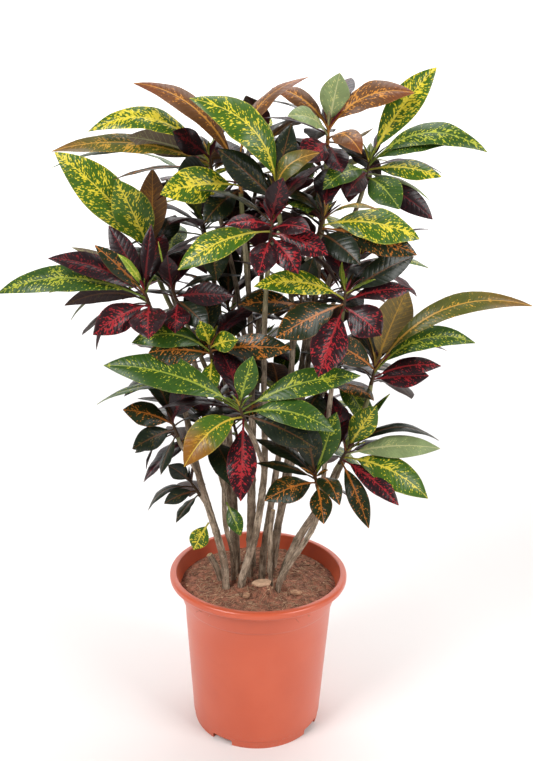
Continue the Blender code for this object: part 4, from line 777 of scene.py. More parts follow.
def soil_material() -> bpy.types.Material:
    """Brown coir and peat: dark hollows, rusty grains and pale fibres."""
    shader = Shader("soil")
    place = shader.place()
    coarse = shader.noise(place, 130.0, 5.0, 0.7)
    fine = shader.noise(place, 620.0, 4.0, 0.7)
    fibre = shader.noise(shader.stretch(place, (1500.0, 240.0, 600.0)), 1.0, 2.0)
    grains = shader.cells(place, 420.0)
    colour = shader.mix(coarse.ramp(0.34, 0.66), (0.095, 0.035, 0.022), (0.390, 0.150, 0.088))
    colour = shader.mix(fine.ramp(0.50, 0.66) * 0.7, colour, (0.58, 0.26, 0.150))
    colour = shader.mix(fibre.ramp(0.60, 0.70) * 0.5, colour, (0.56, 0.36, 0.22))
    height = coarse * 0.45 + fine * 0.35 + grains.ramp(0.5, 0.0) * 0.3
    return shader.finish(colour, 0.90 + fine * 0.08, height, 2.2 * MM)


def fibre_material() -> bpy.types.Material:
    """Dry coir fibres, from straw to rust."""
    shader = Shader("fibre")
    tone = shader.attribute("tone")
    grain = shader.noise(shader.place(), 900.0, 2.0)
    colour = shader.mix(tone, (0.130, 0.056, 0.032), (0.62, 0.40, 0.24))
    colour = shader.mix(grain.ramp(0.4, 0.7) * 0.3, colour, (0.09, 0.042, 0.025))
    return shader.finish(colour, 0.85 + grain * 0.1, grain, 0.2 * MM)


def flake_material() -> bpy.types.Material:
    """Bark flakes: pale orange faces with darker layers."""
    shader = Shader("flake")
    place = shader.place()
    tone = shader.attribute("tone")
    layer = shader.noise(shader.stretch(place, (160.0, 520.0, 1500.0)), 1.0, 4.0, 0.65)
    fine = shader.noise(place, 1100.0, 3.0)
    colour = shader.mix(layer.ramp(0.35, 0.65), (0.21, 0.095, 0.050), (0.56, 0.33, 0.19))
    colour = shader.mix(tone * 0.7, colour, (0.62, 0.42, 0.28))
    colour = shader.mix(fine.ramp(0.60, 0.72) * 0.5, colour, (0.12, 0.055, 0.03))
    return shader.finish(colour, 0.82 + fine * 0.12, layer * 0.7 + fine * 0.3, 0.8 * MM)


def pot_material() -> bpy.types.Material:
    """Thin terracotta-coloured plastic: satin, faintly mottled, scuffed on its foot."""
    shader = Shader("pot_plastic")
    place = shader.place()
    _, _, height = shader.split(place)
    cloud = shader.noise(place, 16.0, 3.0, 0.5)
    fine = shader.noise(place, 900.0, 2.0, 0.5)
    drag = shader.noise(shader.stretch(place, (46.0, 46.0, 420.0)), 1.0, 4.0, 0.7)
    speck = shader.noise(place, 300.0, 4.0, 0.8)
    colour = shader.mix(cloud.ramp(0.35, 0.68), (0.560, 0.093, 0.036), (0.590, 0.104, 0.042))
    colour = shader.mix(drag.ramp(0.63, 0.80) * 0.22, colour, (0.66, 0.20, 0.12))
    low = height.ramp(0.030, 0.0)
    colour = shader.mix(low * speck.ramp(0.46, 0.66) * 0.35, colour, (0.47, 0.20, 0.13))
    colour = shader.mix(speck.ramp(0.70, 0.78) * 0.45, colour, (0.36, 0.12, 0.075))
    roughness = 0.26 + cloud * 0.08 + drag * 0.10 + low * 0.1
    relief = fine * 0.3 + drag * 0.7
    return shader.finish(colour, roughness, relief, 0.10 * MM, 0.25)


# Shapes ---------------------------------------------------------------------------------------

def piece(name: str, bm: bmesh.types.BMesh, materials: Iterable[bpy.types.Material],
          nodes: Iterable[str], smooth_angle: float = 60.0) -> bpy.types.Object:
    """Turn a bmesh into a piece that rides on the frame.

    Args:
        name: The piece's name.
        bm: Its mesh, which is freed.
        materials: Its materials, in the order of the faces' indices.
        nodes: The frame's nodes that it stands for.
        smooth_angle: Edges sharper than this many degrees stay sharp.

    Returns:
        The object.
    """
    mesh = bpy.data.meshes.new(name)
    bm.to_mesh(mesh)
    bm.free()
    mesh.shade_smooth()
    mesh.set_sharp_from_angle(angle=math.radians(smooth_angle))
    obj = bpy.data.objects.new(name, mesh)
    bpy.context.scene.collection.objects.link(obj)
    for material in materials:
        mesh.materials.append(material)
    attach(obj, "root")
    for node in nodes:
        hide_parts(node)
    LOG.info("%s: %d faces, stands for %s", name, len(mesh.polygons), ", ".join(nodes) or "none")
    return obj


def point(values: tuple[float, float, float]) -> Vector:
    """A point of the tables, in metres."""
    return Vector(values) * CM


def smooth_path(points: list[Vector], step: float) -> list[Vector]:
    """Points about a step apart on a Catmull-Rom curve through the given ones.

    Args:
        points: Points that the curve passes through.
        step: Distance between the new points.

    Returns:
        The new points.
    """
    ends = [points[0] * 2 - points[1]] + points + [points[-1] * 2 - points[-2]]
    path = [points[0].copy()]
    for i in range(1, len(ends) - 2):
        a, b, c, d = ends[i - 1:i + 3]
        count = max(1, round((c - b).length / step))
        for k in range(1, count + 1):
            t = k / count
            path.append(0.5 * (2 * b + (c - a) * t + (2 * a - 5 * b + 4 * c - d) * t * t
                               + (3 * b - a - 3 * c + d) * t ** 3))
    return path


def rings_along(path: list[Vector], sides: int) -> list[list[tuple[Vector, Vector, float]]]:
    """Unit circles carried along a path without twisting.

    Args:
        path: The centres.
        sides: Points in each circle.

    Returns:
        For each centre, its points as centre, outward direction and turn from 0 to 1.
    """
    side = Vector((1, 0, 0))
    rings = []
    for i, centre in enumerate(path):
        along = (path[min(i + 1, len(path) - 1)] - path[max(i - 1, 0)]).normalized()
        side = (side - along * side.dot(along)).normalized()
        across = along.cross(side)
        turns = [k / sides for k in range(sides)]
        rings.append([(centre, side * math.cos(math.tau * t) + across * math.sin(math.tau * t), t)
                      for t in turns])
    return rings


def skin(bm: bmesh.types.BMesh, rings: list[list[bmesh.types.BMVert]], capped: bool = True,
         index: int = 0) -> list[bmesh.types.BMFace]:
    """Join rings of vertices into a tube.

    Args:
        bm: The mesh.
        rings: The rings, all of one length.
        capped: Whether both ends are closed.
        index: Material index of the faces.

    Returns:
        The faces of the tube's side.
    """
    faces = []
    for low, high in zip(rings, rings[1:]):
        for k in range(len(low)):
            nxt = (k + 1) % len(low)
            faces.append(bm.faces.new((low[k], low[nxt], high[nxt], high[k])))
    ends = [bm.faces.new(rings[0][::-1]), bm.faces.new(rings[-1])] if capped else []
    for face in faces + ends:
        face.material_index = index
    return faces


def tube(path: list[Vector], radii: list[float], sides: int) -> bmesh.types.BMesh:
    """A closed tube along a path.

    Args:
        path: The centres.
        radii: The radius at each centre.
        sides: Sides of the tube.

    Returns:
        The tube.
    """
    bm = bmesh.new()
    rings = [[bm.verts.new(centre + out * radii[i]) for centre, out, _ in ring]
             for i, ring in enumerate(rings_along(path, sides))]
    skin(bm, rings)
    return bm


def circle(bm: bmesh.types.BMesh, radius: float, turns: list[float],
           height: Callable[[float, float], float]) -> list[bmesh.types.BMVert]:
    """A ring of vertices about the Z axis.

    Args:
        bm: The mesh that gets them.
        radius: The ring's radius.
        turns: The angle of each vertex.
        height: Gives the height at x and y.

    Returns:
        The vertices.
    """
    spots = [(radius * math.cos(turn), radius * math.sin(turn)) for turn in turns]
    return [bm.verts.new((x, y, height(x, y))) for x, y in spots]


def set_tones(obj: bpy.types.Object, tones: list[float]) -> None:
    """Store on every vertex how pale it is, from 0 to 1."""
    obj.data.attributes.new("tone", "FLOAT", "POINT").data.foreach_set("value", tones)


def taper(path: list[Vector], start: float, end: float) -> list[float]:
    """Radii that fall evenly along a path."""
    last = len(path) - 1
    return [start + (end - start) * i / last for i in range(len(path))]


# Pot and soil ---------------------------------------------------------------------------------

@dataclass(frozen=True)
class Pot:
    """A thin round pot: tapering wall, rolled lip, faint stacking line, notched foot."""

    height: float = 218 * MM
    lip_radius: float = 120 * MM
    lip_inner_radius: float = 111 * MM
    lip_depth: float = 10 * MM
    lip_round: float = 3.5 * MM
    wall_top_radius: float = 100.4 * MM
    collar_foot_radius: float = 103 * MM
    collar_top_radius: float = 110 * MM
    foot_radius: float = 88 * MM
    wall: float = 2.0 * MM
    shoulder_height: float = 178 * MM
    shoulder_depth: float = 3 * MM
    collar_line: float = 194 * MM
    collar_round: float = 1.2 * MM
    inner_round: float = 2 * MM
    foot_line: float = 11 * MM
    foot_inset: float = 1.0 * MM
    foot_round: float = 0.6 * MM
    wall_rings: int = 6
    crease: float = 38
    foot_width: float = 5 * MM
    pad_radius: float = 52 * MM
    gutter: float = 8 * MM
    notches: int = 4
    notch_turn: float = math.radians(-31)
    notch_width: float = 30 * MM
    notch_height: float = 7.5 * MM
    drains: int = 8
    drain_radius: float = 4.5 * MM
    drain_ring: float = 66 * MM
    segments: int = 144

    def collar_foot(self) -> float:
        """Height where the flared collar starts."""
        return self.shoulder_height + self.shoulder_depth

    def wall_radius(self, height: float) -> float:
        """Outer radius at a height: the tapering wall, then the collar above the shoulder."""
        if height <= self.shoulder_height:
            share = height / self.shoulder_height
            return self.foot_radius + (self.wall_top_radius - self.foot_radius) * share
        rise = (height - self.collar_foot()) / (self.height - self.lip_depth
                                                - self.collar_foot())
        return self.collar_foot_radius + (self.collar_top_radius
                                          - self.collar_foot_radius) * rise

    def arc(self, radius: float, height: float, bend: float, start: float, end: float,
            count: int) -> list[tuple[float, float]]:
        """Points of a rounded corner of the profile.

        Args:
            radius: Radius of the corner's centre.
            height: Height of the corner's centre.
            bend: Radius of the rounding.
            start: First angle, in degrees.
            end: Last angle, in degrees.
            count: Number of steps.

        Returns:
            The points as radius and height.
        """
        turns = [math.radians(start + (end - start) * i / count) for i in range(count + 1)]
        return [(radius + bend * math.cos(a), height + bend * math.sin(a)) for a in turns]

    def profile(self) -> list[tuple[float, float]]:
        """The turned profile, from the axis underneath to the axis inside."""
        lip_foot = self.height - self.lip_depth
        gutter_outer = self.foot_radius - self.foot_width
        floor = self.gutter + self.wall
        inset = self.foot_inset
        bend = self.foot_round
        points = [(0, 0), (self.pad_radius, 0), (self.pad_radius + 3 * MM, self.gutter),
                  (gutter_outer, self.gutter), (gutter_outer, bend)]
        points += self.arc(self.foot_radius - inset - bend, bend, bend, 270, 360, 3)
        points += [(self.wall_radius(self.foot_line) - inset, self.foot_line - inset),
                   (self.wall_radius(self.foot_line), self.foot_line)]
        rise = self.shoulder_height - self.foot_line
        heights = [self.foot_line + rise * k / self.wall_rings for k in range(1, self.wall_rings)]
        points += [(self.wall_radius(height), height) for height in heights]
        points += [(self.wall_top_radius - 0.2 * MM, self.shoulder_height - 1.2 * MM),
                   (self.wall_top_radius + 0.3 * MM, self.shoulder_height),
                   (self.collar_foot_radius - 0.4 * MM, self.collar_foot() - 0.7 * MM),
                   (self.collar_foot_radius, self.collar_foot() + 0.4 * MM)]
        points.append((self.wall_radius(self.collar_line), self.collar_line))
        bend = self.collar_round
        points += self.arc(self.collar_top_radius + bend, lip_foot - bend, bend, 180, 90, 3)
        curl = self.lip_round
        points += self.arc(self.lip_radius - curl, lip_foot + curl, curl, -90, 0, 5)
        points += self.arc(self.lip_radius - curl, self.height - curl, curl, 0, 90, 6)
        bend = self.inner_round
        points += self.arc(self.lip_inner_radius + bend, self.height - bend, bend, 90, 180, 5)
        points += [(self.lip_inner_radius - 1 * MM, self.height - 5 * MM),
                   (self.collar_top_radius - self.wall, lip_foot - 1 * MM),
                   (self.collar_foot_radius - self.wall, self.collar_foot()),
                   (self.wall_top_radius - self.wall, self.shoulder_height - 1 * MM),
                   (self.wall_radius(floor) - self.wall, floor), (0, floor)]
        return points

    def turned(self, profile: list[tuple[float, float]]) -> bmesh.types.BMesh:
        """A solid turned from a profile that starts and ends on the axis."""
        bm = bmesh.new()
        turns = [math.tau * k / self.segments for k in range(self.segments)]
        rings = [circle(bm, radius, turns if radius else [0.0], lambda x, y: height)
                 for radius, height in profile]
        for low, high in zip(rings, rings[1:]):
            for k in range(self.segments):
                nxt = (k + 1) % self.segments
                corners = [low[k % len(low)], low[nxt % len(low)], high[nxt % len(high)],
                           high[k % len(high)]]
                bm.faces.new(list(dict.fromkeys(corners)))
        bmesh.ops.recalc_face_normals(bm, faces=bm.faces)
        return bm

    def cutters(self) -> list[bmesh.types.BMesh]:
        """The shapes that cut the foot's notches and the drain holes."""
        made = []
        for i in range(self.notches):
            turn = self.notch_turn - math.pi / 2 + math.tau * i / self.notches
            bm = bmesh.new()
            bmesh.ops.create_cube(bm, size=1)
            size = (3 * self.foot_width, self.notch_width, 2 * self.notch_height)
            bmesh.ops.scale(bm, vec=size, verts=bm.verts)
            upright = [edge for edge in bm.edges
                       if abs(edge.verts[0].co.x - edge.verts[1].co.x) > 1 * MM]
            bmesh.ops.bevel(bm, geom=upright, offset=2 * MM, segments=3, profile=0.5,
                            affect="EDGES")
            spin = Matrix.Rotation(turn, 4, "Z") @ Matrix.Translation((self.foot_radius, 0, 0))
            bmesh.ops.transform(bm, matrix=spin, verts=bm.verts)
            made.append(bm)
        for i in range(self.drains):
            turn = self.notch_turn + math.tau * i / self.drains
            bm = bmesh.new()
            bmesh.ops.create_cone(bm, cap_ends=True, segments=24, radius1=self.drain_radius,
                                  radius2=self.drain_radius, depth=5 * self.gutter)
            place = (self.drain_ring * math.cos(turn), self.drain_ring * math.sin(turn), 0)
            bmesh.ops.translate(bm, vec=place, verts=bm.verts)
            made.append(bm)
        return made

    def build(self) -> bpy.types.Object:
        """The pot as a piece.

        Returns:
            The pot's object.
        """
        pot = piece("pot_shell", self.turned(self.profile()), [pot_material()], ["pot"],
                    self.crease)
        group = bpy.data.collections.new("cuts")
        for bm in self.cutters():
            mesh = bpy.data.meshes.new("cut")
            bm.to_mesh(mesh)
            bm.free()
            tool = bpy.data.objects.new("cut", mesh)
            bpy.context.scene.collection.objects.link(tool)
            group.objects.link(tool)
        cut = pot.modifiers.new("cuts", "BOOLEAN")
        cut.operation = "DIFFERENCE"
        cut.operand_type = "COLLECTION"
        cut.collection = group
        cut.solver = "EXACT"
        shape = bpy.data.meshes.new_from_object(
            pot.evaluated_get(bpy.context.evaluated_depsgraph_get()))
        pot.modifiers.clear()
        pot.data = shape
        shape.shade_smooth()
        shape.set_sharp_from_angle(angle=math.radians(self.crease))
        for tool in list(group.objects):
            bpy.data.objects.remove(tool, do_unlink=True)
        bpy.data.collections.remove(group)
        return pot


@dataclass(frozen=True)
class SoilBed:
    """Loose coir and peat in the pot, with fibres and crumbs lying on it."""

    pot: Pot
    edge_height: float = 200 * MM
    mound: float = 9 * MM
    clod_place: tuple[float, float] = (9 * MM, -50 * MM)
    clod_height: float = 14 * MM
    clod_spread: float = 13 * MM
    edge_width: float = 8 * MM
    edge_dip: float = 2.6 * MM
    lump_size: float = 0.9 * MM
    clump_rate: float = 95
    clump_size: float = 1.8 * MM
    grain_rate: float = 330
    grain_size: float = 0.9 * MM
    rings: int = 62
    segments: int = 168
    fibres: int = 1100
    fibre_points: int = 6
    crumbs: int = 300

    def smooth_height(self, x: float, y: float) -> float:
        """Height of the low mound with its broad lumps and the clod in front of the stems."""
        away = min(1.0, math.hypot(x, y) / self.pot.lip_inner_radius)
        mound = self.mound * (0.5 + 0.5 * math.cos(math.pi * away))
        lumps = math.sin(61 * x + 1.3) * math.cos(73 * y - 0.4) + math.sin(97 * x + 118 * y)
        reach = math.hypot(x - self.clod_place[0], y - self.clod_place[1]) / self.clod_spread
        clod = self.clod_height * math.exp(-reach ** 4)
        return self.edge_height + mound + clod + lumps * self.lump_size

    def top_radius(self) -> float:
        """Radius of the soil where it meets the wall."""
        return self.pot.wall_radius(self.edge_height) - self.pot.wall - 2 * GAP

    def height(self, x: float, y: float) -> float:
        """Height of the surface with its grains and clumps."""
        edge = min(1.0, max(0.0, (self.top_radius() - math.hypot(x, y)) / self.edge_width))
        clump = noise.noise(Vector((x, y, 0.3)) * self.clump_rate) * self.clump_size
        grain = noise.noise(Vector((x, y, 1.7)) * self.grain_rate) * self.grain_size
        lift = self.smooth_height(x, y) - self.edge_height
        return self.edge_height - self.edge_dip * (1 - edge) + lift * edge + clump + grain

    def build(self) -> None:
        """The soil, its fibres and its crumbs as pieces."""
        bm = bmesh.new()
        floor = self.pot.gutter + self.pot.wall + GAP
        spare = self.pot.wall + 2 * GAP
        turns = [math.tau * k / self.segments for k in range(self.segments)]
        sides = ((self.pot.wall_radius(floor) - spare, floor),
                 (self.pot.wall_top_radius - spare, self.pot.shoulder_height - 1 * MM),
                 (self.pot.collar_foot_radius - spare, self.pot.collar_foot() + 2 * MM))
        rings = [circle(bm, radius, turns, lambda x, y: height) for radius, height in sides]
        for k in range(self.rings + 1):
            radius = self.top_radius() * (1 - k / (self.rings + 1)) + 0.4 * MM
            rings.append(circle(bm, radius, turns, self.height))
        skin(bm, rings)
        bmesh.ops.recalc_face_normals(bm, faces=bm.faces)
        piece("soil_bed", bm, [soil_material()], ["soil"], 80)
        self.build_fibres()
        self.build_crumbs()

    def spot(self, luck: random.Random, spare: float) -> Vector:
        """A random point on the surface.

        Args:
            luck: Source of chance.
            spare: Distance that it keeps from the wall.

        Returns:
            The point.
        """
        radius = (self.top_radius() - spare) * math.sqrt(luck.random())
        turn = luck.uniform(0, math.tau)
        x, y = radius * math.cos(turn), radius * math.sin(turn)
        return Vector((x, y, self.height(x, y)))

    def build_fibres(self) -> None:
        """Thin curled fibres on the surface."""
        luck = random.Random(11)
        bm = bmesh.new()
        tones = []
        last = self.fibre_points - 1
        for _ in range(self.fibres):
            length = luck.uniform(6, 19) * MM
            heart = self.spot(luck, 11 * MM)
            turn = luck.uniform(0, math.tau)
            curl = luck.uniform(-1.6, 1.6)
            lift = luck.uniform(0.2, 1.8) * MM
            path = []
            here = heart.copy()
            for k in range(self.fibre_points):
                way = turn + curl * k / last
                here = here + Vector((math.cos(way), math.sin(way), 0)) * length / last
                rise = lift * math.sin(math.pi * k / last)
                path.append(Vector((here.x, here.y, self.height(here.x, here.y) + rise)))
            thick = luck.uniform(0.18, 0.50) * MM
            before = len(bm.verts)
            rings = [[bm.verts.new(centre + out * thick * (1.0 - 0.5 * abs(i - last / 2) / (last / 2)))
                      for centre, out, _ in ring] for i, ring in enumerate(rings_along(path, 4))]
            skin(bm, rings)
            tones += [luck.random()] * (len(bm.verts) - before)
        obj = piece("soil_fibres", bm, [fibre_material()], [])
        set_tones(obj, tones)

    def build_crumbs(self) -> None:
        """Small crumbs of bark and clods on the surface."""
        luck = random.Random(23)
        bm = bmesh.new()
        tones = []
        for _ in range(self.crumbs):
            size = luck.uniform(1.2, 4.2) * MM * (1.6 if luck.random() < 0.12 else 1.0)
            heart = self.spot(luck, 6 * MM)
            made = bmesh.ops.create_icosphere(bm, subdivisions=2, radius=1)["verts"]
            spin = Matrix.Rotation(luck.uniform(0, math.tau), 3, "Z")
            flat = Vector((1.0, luck.uniform(0.5, 0.9), luck.uniform(0.3, 0.6))) * size / 2
            shift = luck.uniform(0, 90)
            for vert in made:
                rough = 1 + 0.45 * noise.noise(vert.co * 1.7 + Vector((shift, 0, 0)))
                co = Vector((vert.co.x * flat.x, vert.co.y * flat.y, vert.co.z * flat.z))
                vert.co = heart + spin @ (co * rough) + Vector((0, 0, flat.z * 0.35))
            tones += [luck.random() ** 2] * len(made)
        obj = piece("soil_crumbs", bm, [fibre_material()], [])
        set_tones(obj, tones)


@dataclass(frozen=True)
class BarkFlakes:
    """The larger flakes of bark that lie on the soil.

    A layer says how high it is, as a share of the flake's height, and how far it reaches.
    """

    soil: SoilBed
    sink: float = 0.1 * MM
    spots: tuple[float, ...] = (-0.5, -0.3, -0.1, 0.1, 0.3, 0.5)
    corners: int = 40
    foot_share: float = 0.86
    layers: tuple[tuple[float, float], ...] = ((0.16, 0.97), (0.4, 0.93), (0.46, 1.0),
                                               (0.72, 0.90), (0.8, 0.84), (0.97, 0.70))
    bend: float = 0.9 * MM

    def build(self) -> None:
        """Each flake as a piece, in layers with broken edges."""
        shade = flake_material()
        for name, place, size, turn in CHIPS:
            self.flake(name, place, size, turn, shade)

    def flake(self, name: str, place: tuple[float, float], size: tuple[float, float, float],
              turn: float, shade: bpy.types.Material) -> None:
        """One flake: a bent, layered slab with a broken outline.

        Args:
            name: The node that it stands for.
            place: Where it lies, in cm.
            size: Its length, width and height, in cm.
            turn: How far it is turned, in degrees.
            shade: Its material.
        """
        length, width, height = (value * CM for value in size)
        x, y = (value * CM for value in place)
        spin = Matrix.Rotation(math.radians(turn), 2)
        felt = [spin @ Vector((dx * length, dy * width)) for dx in self.spots
                for dy in self.spots]
        base = max(self.soil.smooth_height(x + spot.x, y + spot.y) for spot in felt)
        bm = bmesh.new()
        layers = [(-self.sink, self.foot_share)]
        layers += [(height * level, share) for level, share in self.layers]
        rings = []
        for level, share in layers:
            ring = []
            for k in range(self.corners):
                t = math.tau * k / self.corners
                corner = 1 - 0.10 * abs(math.cos(2.5 * t + 0.4))
                ragged = 1 + 0.11 * noise.noise(Vector((math.cos(t), math.sin(t), level * 600)) * 2)
                reach = 0.5 * share * corner * ragged
                flat = spin @ Vector((math.cos(t) * length * reach, math.sin(t) * width * reach))
                bend = self.bend * math.cos(t) ** 2
                ring.append(bm.verts.new((x + flat.x, y + flat.y,
                                          base + level + bend * level / height)))
            rings.append(ring)
        skin(bm, rings)
        bmesh.ops.recalc_face_normals(bm, faces=bm.faces)
        tones = [0.8 if name == "bark_chip_large" else 0.1] * len(bm.verts)
        obj = piece(f"{name}_flake", bm, [shade], [name], 30)
        set_tones(obj, tones)


# Stems ----------------------------------------------------------------------------------------

Shoot = tuple[Vector, Vector]


@dataclass(frozen=True)
class Run:
    """One tube of a stem, with the shoot that it carries if it has one."""

    path: list[Vector]
    radii: list[float]
    crown: str
    shoot: Optional[Shoot]


@dataclass(frozen=True)
class Wood:
    """The woody stems, their side branches and their bark."""

    shoot_length: float = 26 * MM
    coarse_step: float = 45 * MM
    fine_step: float = 3.5 * MM
    coarse_sides: int = 7
    sides: int = 20
    scar_gap: float = 17 * MM
    scar_half: float = 1.1 * MM
    scar_height: float = 0.075
    knot_gap: float = 48 * MM
    knot_half: float = 2.6 * MM
    knot_height: float = 0.24
    ridge_height: float = 0.075
    swell_height: float = 0.06

    def run(self, points: list, crown: str, thick: tuple[float, float], step: float) -> Run:
        """A smooth tube, cut off a shoot's length below its crown's tip.

        Args:
            points: Points of the path, in cm.
            crown: Name of the crown that it carries, or nothing.
            thick: Its thickness at both ends, in mm.
            step: Distance between the points of the smooth path.

        Returns:
            The tube.
        """
        path = [point(p) for p in points]
        start, end = (value * MM / 2 for value in thick)
        if not crown:
            path = smooth_path(path, step)
            return Run(path, taper(path, start, end), "", None)
        tip = point(next(one.tip for one in CROWNS if one.name == crown))
        along = (tip - path[-1]).normalized()
        foot = tip - along * self.shoot_length
        path = smooth_path(path + [foot - along * GAP], step)
        return Run(path, taper(path, start, end), crown, (foot, along))

    def runs(self, stem: Stem, step: float) -> list[Run]:
        """The tubes of a stem, the main one first."""
        made = [self.run(stem.path, stem.crown, stem.thick, step)]
        for branch in stem.branches:
            points = [stem.path[branch.at]] + branch.path
            made.append(self.run(points, branch.crown, branch.thick, step))
        return made

    def coarse_runs(self) -> list[Run]:
        """The tubes of every stem, as the frame has them."""
        return [run for stem in STEMS for run in self.runs(stem, self.coarse_step)]

    def build(self) -> None:
        """Each stem as a piece with ridged bark, leaf scars and knots."""
        shades = [bark_material(), cut_wood_material()]
        for stem in STEMS + [SAWN_SHOOT]:
            luck = random.Random(stem.name)
            bm = bmesh.new()
            marks = bm.verts.layers.float_vector.new("bark")
            layer = bm.loops.layers.uv.new(BAKE_LAYER)
            runs = self.runs(stem, self.fine_step)
            for i, run in enumerate(runs):
                self.limb(bm, run, luck, marks, layer, (i, len(runs)), not run.crown)
            bmesh.ops.recalc_face_normals(bm, faces=bm.faces)
            piece(f"{stem.name}_bark", bm, shades, [stem.name], 50)

    def limb(self, bm: bmesh.types.BMesh, run: Run, luck: random.Random,
             marks: bmesh.types.BMLayerItem, layer: bmesh.types.BMLayerItem,
             share: tuple[int, int], bare_end: bool) -> None:
        """One limb with its bark.

        Args:
            bm: The mesh that it joins.
            run: The limb's tube.
            luck: Source of chance.
            marks: Where the bark's own coordinates are kept.
            layer: The map for baking.
            share: Which strip of the map it has, and how many strips there are.
            bare_end: Whether its end was cut and shows pale wood.
        """
        shift = Vector((luck.uniform(0, 50), luck.uniform(0, 50), 0))
        length = sum((b - a).length for a, b in zip(run.path, run.path[1:]))
        scars = [luck.uniform(0.02, 0.98) * length for _ in range(int(length / self.scar_gap))]
        knots = [(luck.uniform(0.1, 0.95) * length, luck.random())
                 for _ in range(int(length / self.knot_gap))]
        rings = []
        gone = 0.0
        for i, ring in enumerate(rings_along(run.path, self.sides)):
            if i:
                gone += (run.path[i] - run.path[i - 1]).length
            scar = max([math.exp(-((gone - s) / self.scar_half) ** 2) for s in scars] or [0])
            verts = []
            for centre, out, turn in ring:
                round_ = Vector((math.cos(math.tau * turn), math.sin(math.tau * turn),
                                 gone * 26)) * 1.6
                ridge = noise.noise(round_ * 1.9 + shift)
                swell = noise.noise(Vector((0, 0, gone * 34)) + shift)
                lump = sum(math.exp(-((gone - s) / self.knot_half) ** 2
                                    - ((turn - t + 0.5) % 1.0 - 0.5) ** 2 / 0.012)
                           for s, t in knots)
                grown = (1 + self.ridge_height * ridge + self.swell_height * swell
                         + self.scar_height * scar + self.knot_height * lump)
                vert = bm.verts.new(centre + out * run.radii[i] * grown)
                vert[marks] = (gone + shift.x, turn if turn < 0.5 else 1 - turn,
                               min(1.0, i / len(run.path)) if run.crown else 0.2)
                verts.append(vert)
            rings.append(verts)
        skin(bm, rings, False)
        self.close(bm, rings[0][::-1], 0, layer)
        self.close(bm, rings[-1], 1 if bare_end else 0, layer)
        self.map_limb(rings, layer, share)

    def close(self, bm: bmesh.types.BMesh, ring: list[bmesh.types.BMVert], index: int,
              layer: bmesh.types.BMLayerItem) -> None:
        """Close one end of a limb.

        Args:
            bm: The mesh.
            ring: The vertices round the end.
            index: Material index of the end.
            layer: The map for baking.
        """
        face = bm.faces.new(ring)
        face.material_index = index
        for k, loop in enumerate(face.loops):
            turn = math.tau * k / len(ring)
            loop[layer].uv = (0.03 + 0.02 * math.cos(turn), 0.965 + 0.02 * math.sin(turn))

    def map_limb(self, rings: list[list[bmesh.types.BMVert]], layer: bmesh.types.BMLayerItem,
                 share: tuple[int, int]) -> None:
        """Lay a limb out flat as one strip of the map.

        Args:
            rings: The limb's rings.
            layer: The map.
            share: Which strip it has, and how many strips there are.
        """
        strip, strips = share
        low, high = (strip + 0.06) / strips, (strip + 0.94) / strips
        count = len(rings[0])
        where = {vert: (i, k) for i, ring in enumerate(rings) for k, vert in enumerate(ring)}
        for ring in rings[:-1]:
            for vert in ring:
                for face in vert.link_faces:
                    spots = [where.get(one) for one in face.verts]
                    if len(spots) != 4 or None in spots:
                        continue
                    wraps = {0, count - 1} <= {k for _, k in spots}
                    for loop, (i, k) in zip(face.loops, spots):
                        turn = (count if wraps and k == 0 else k) / count
                        loop[layer].uv = (low + (high - low) * turn,
                                          0.01 + 0.91 * i / (len(rings) - 1))


# Leaves ---------------------------------------------------------------------------------------

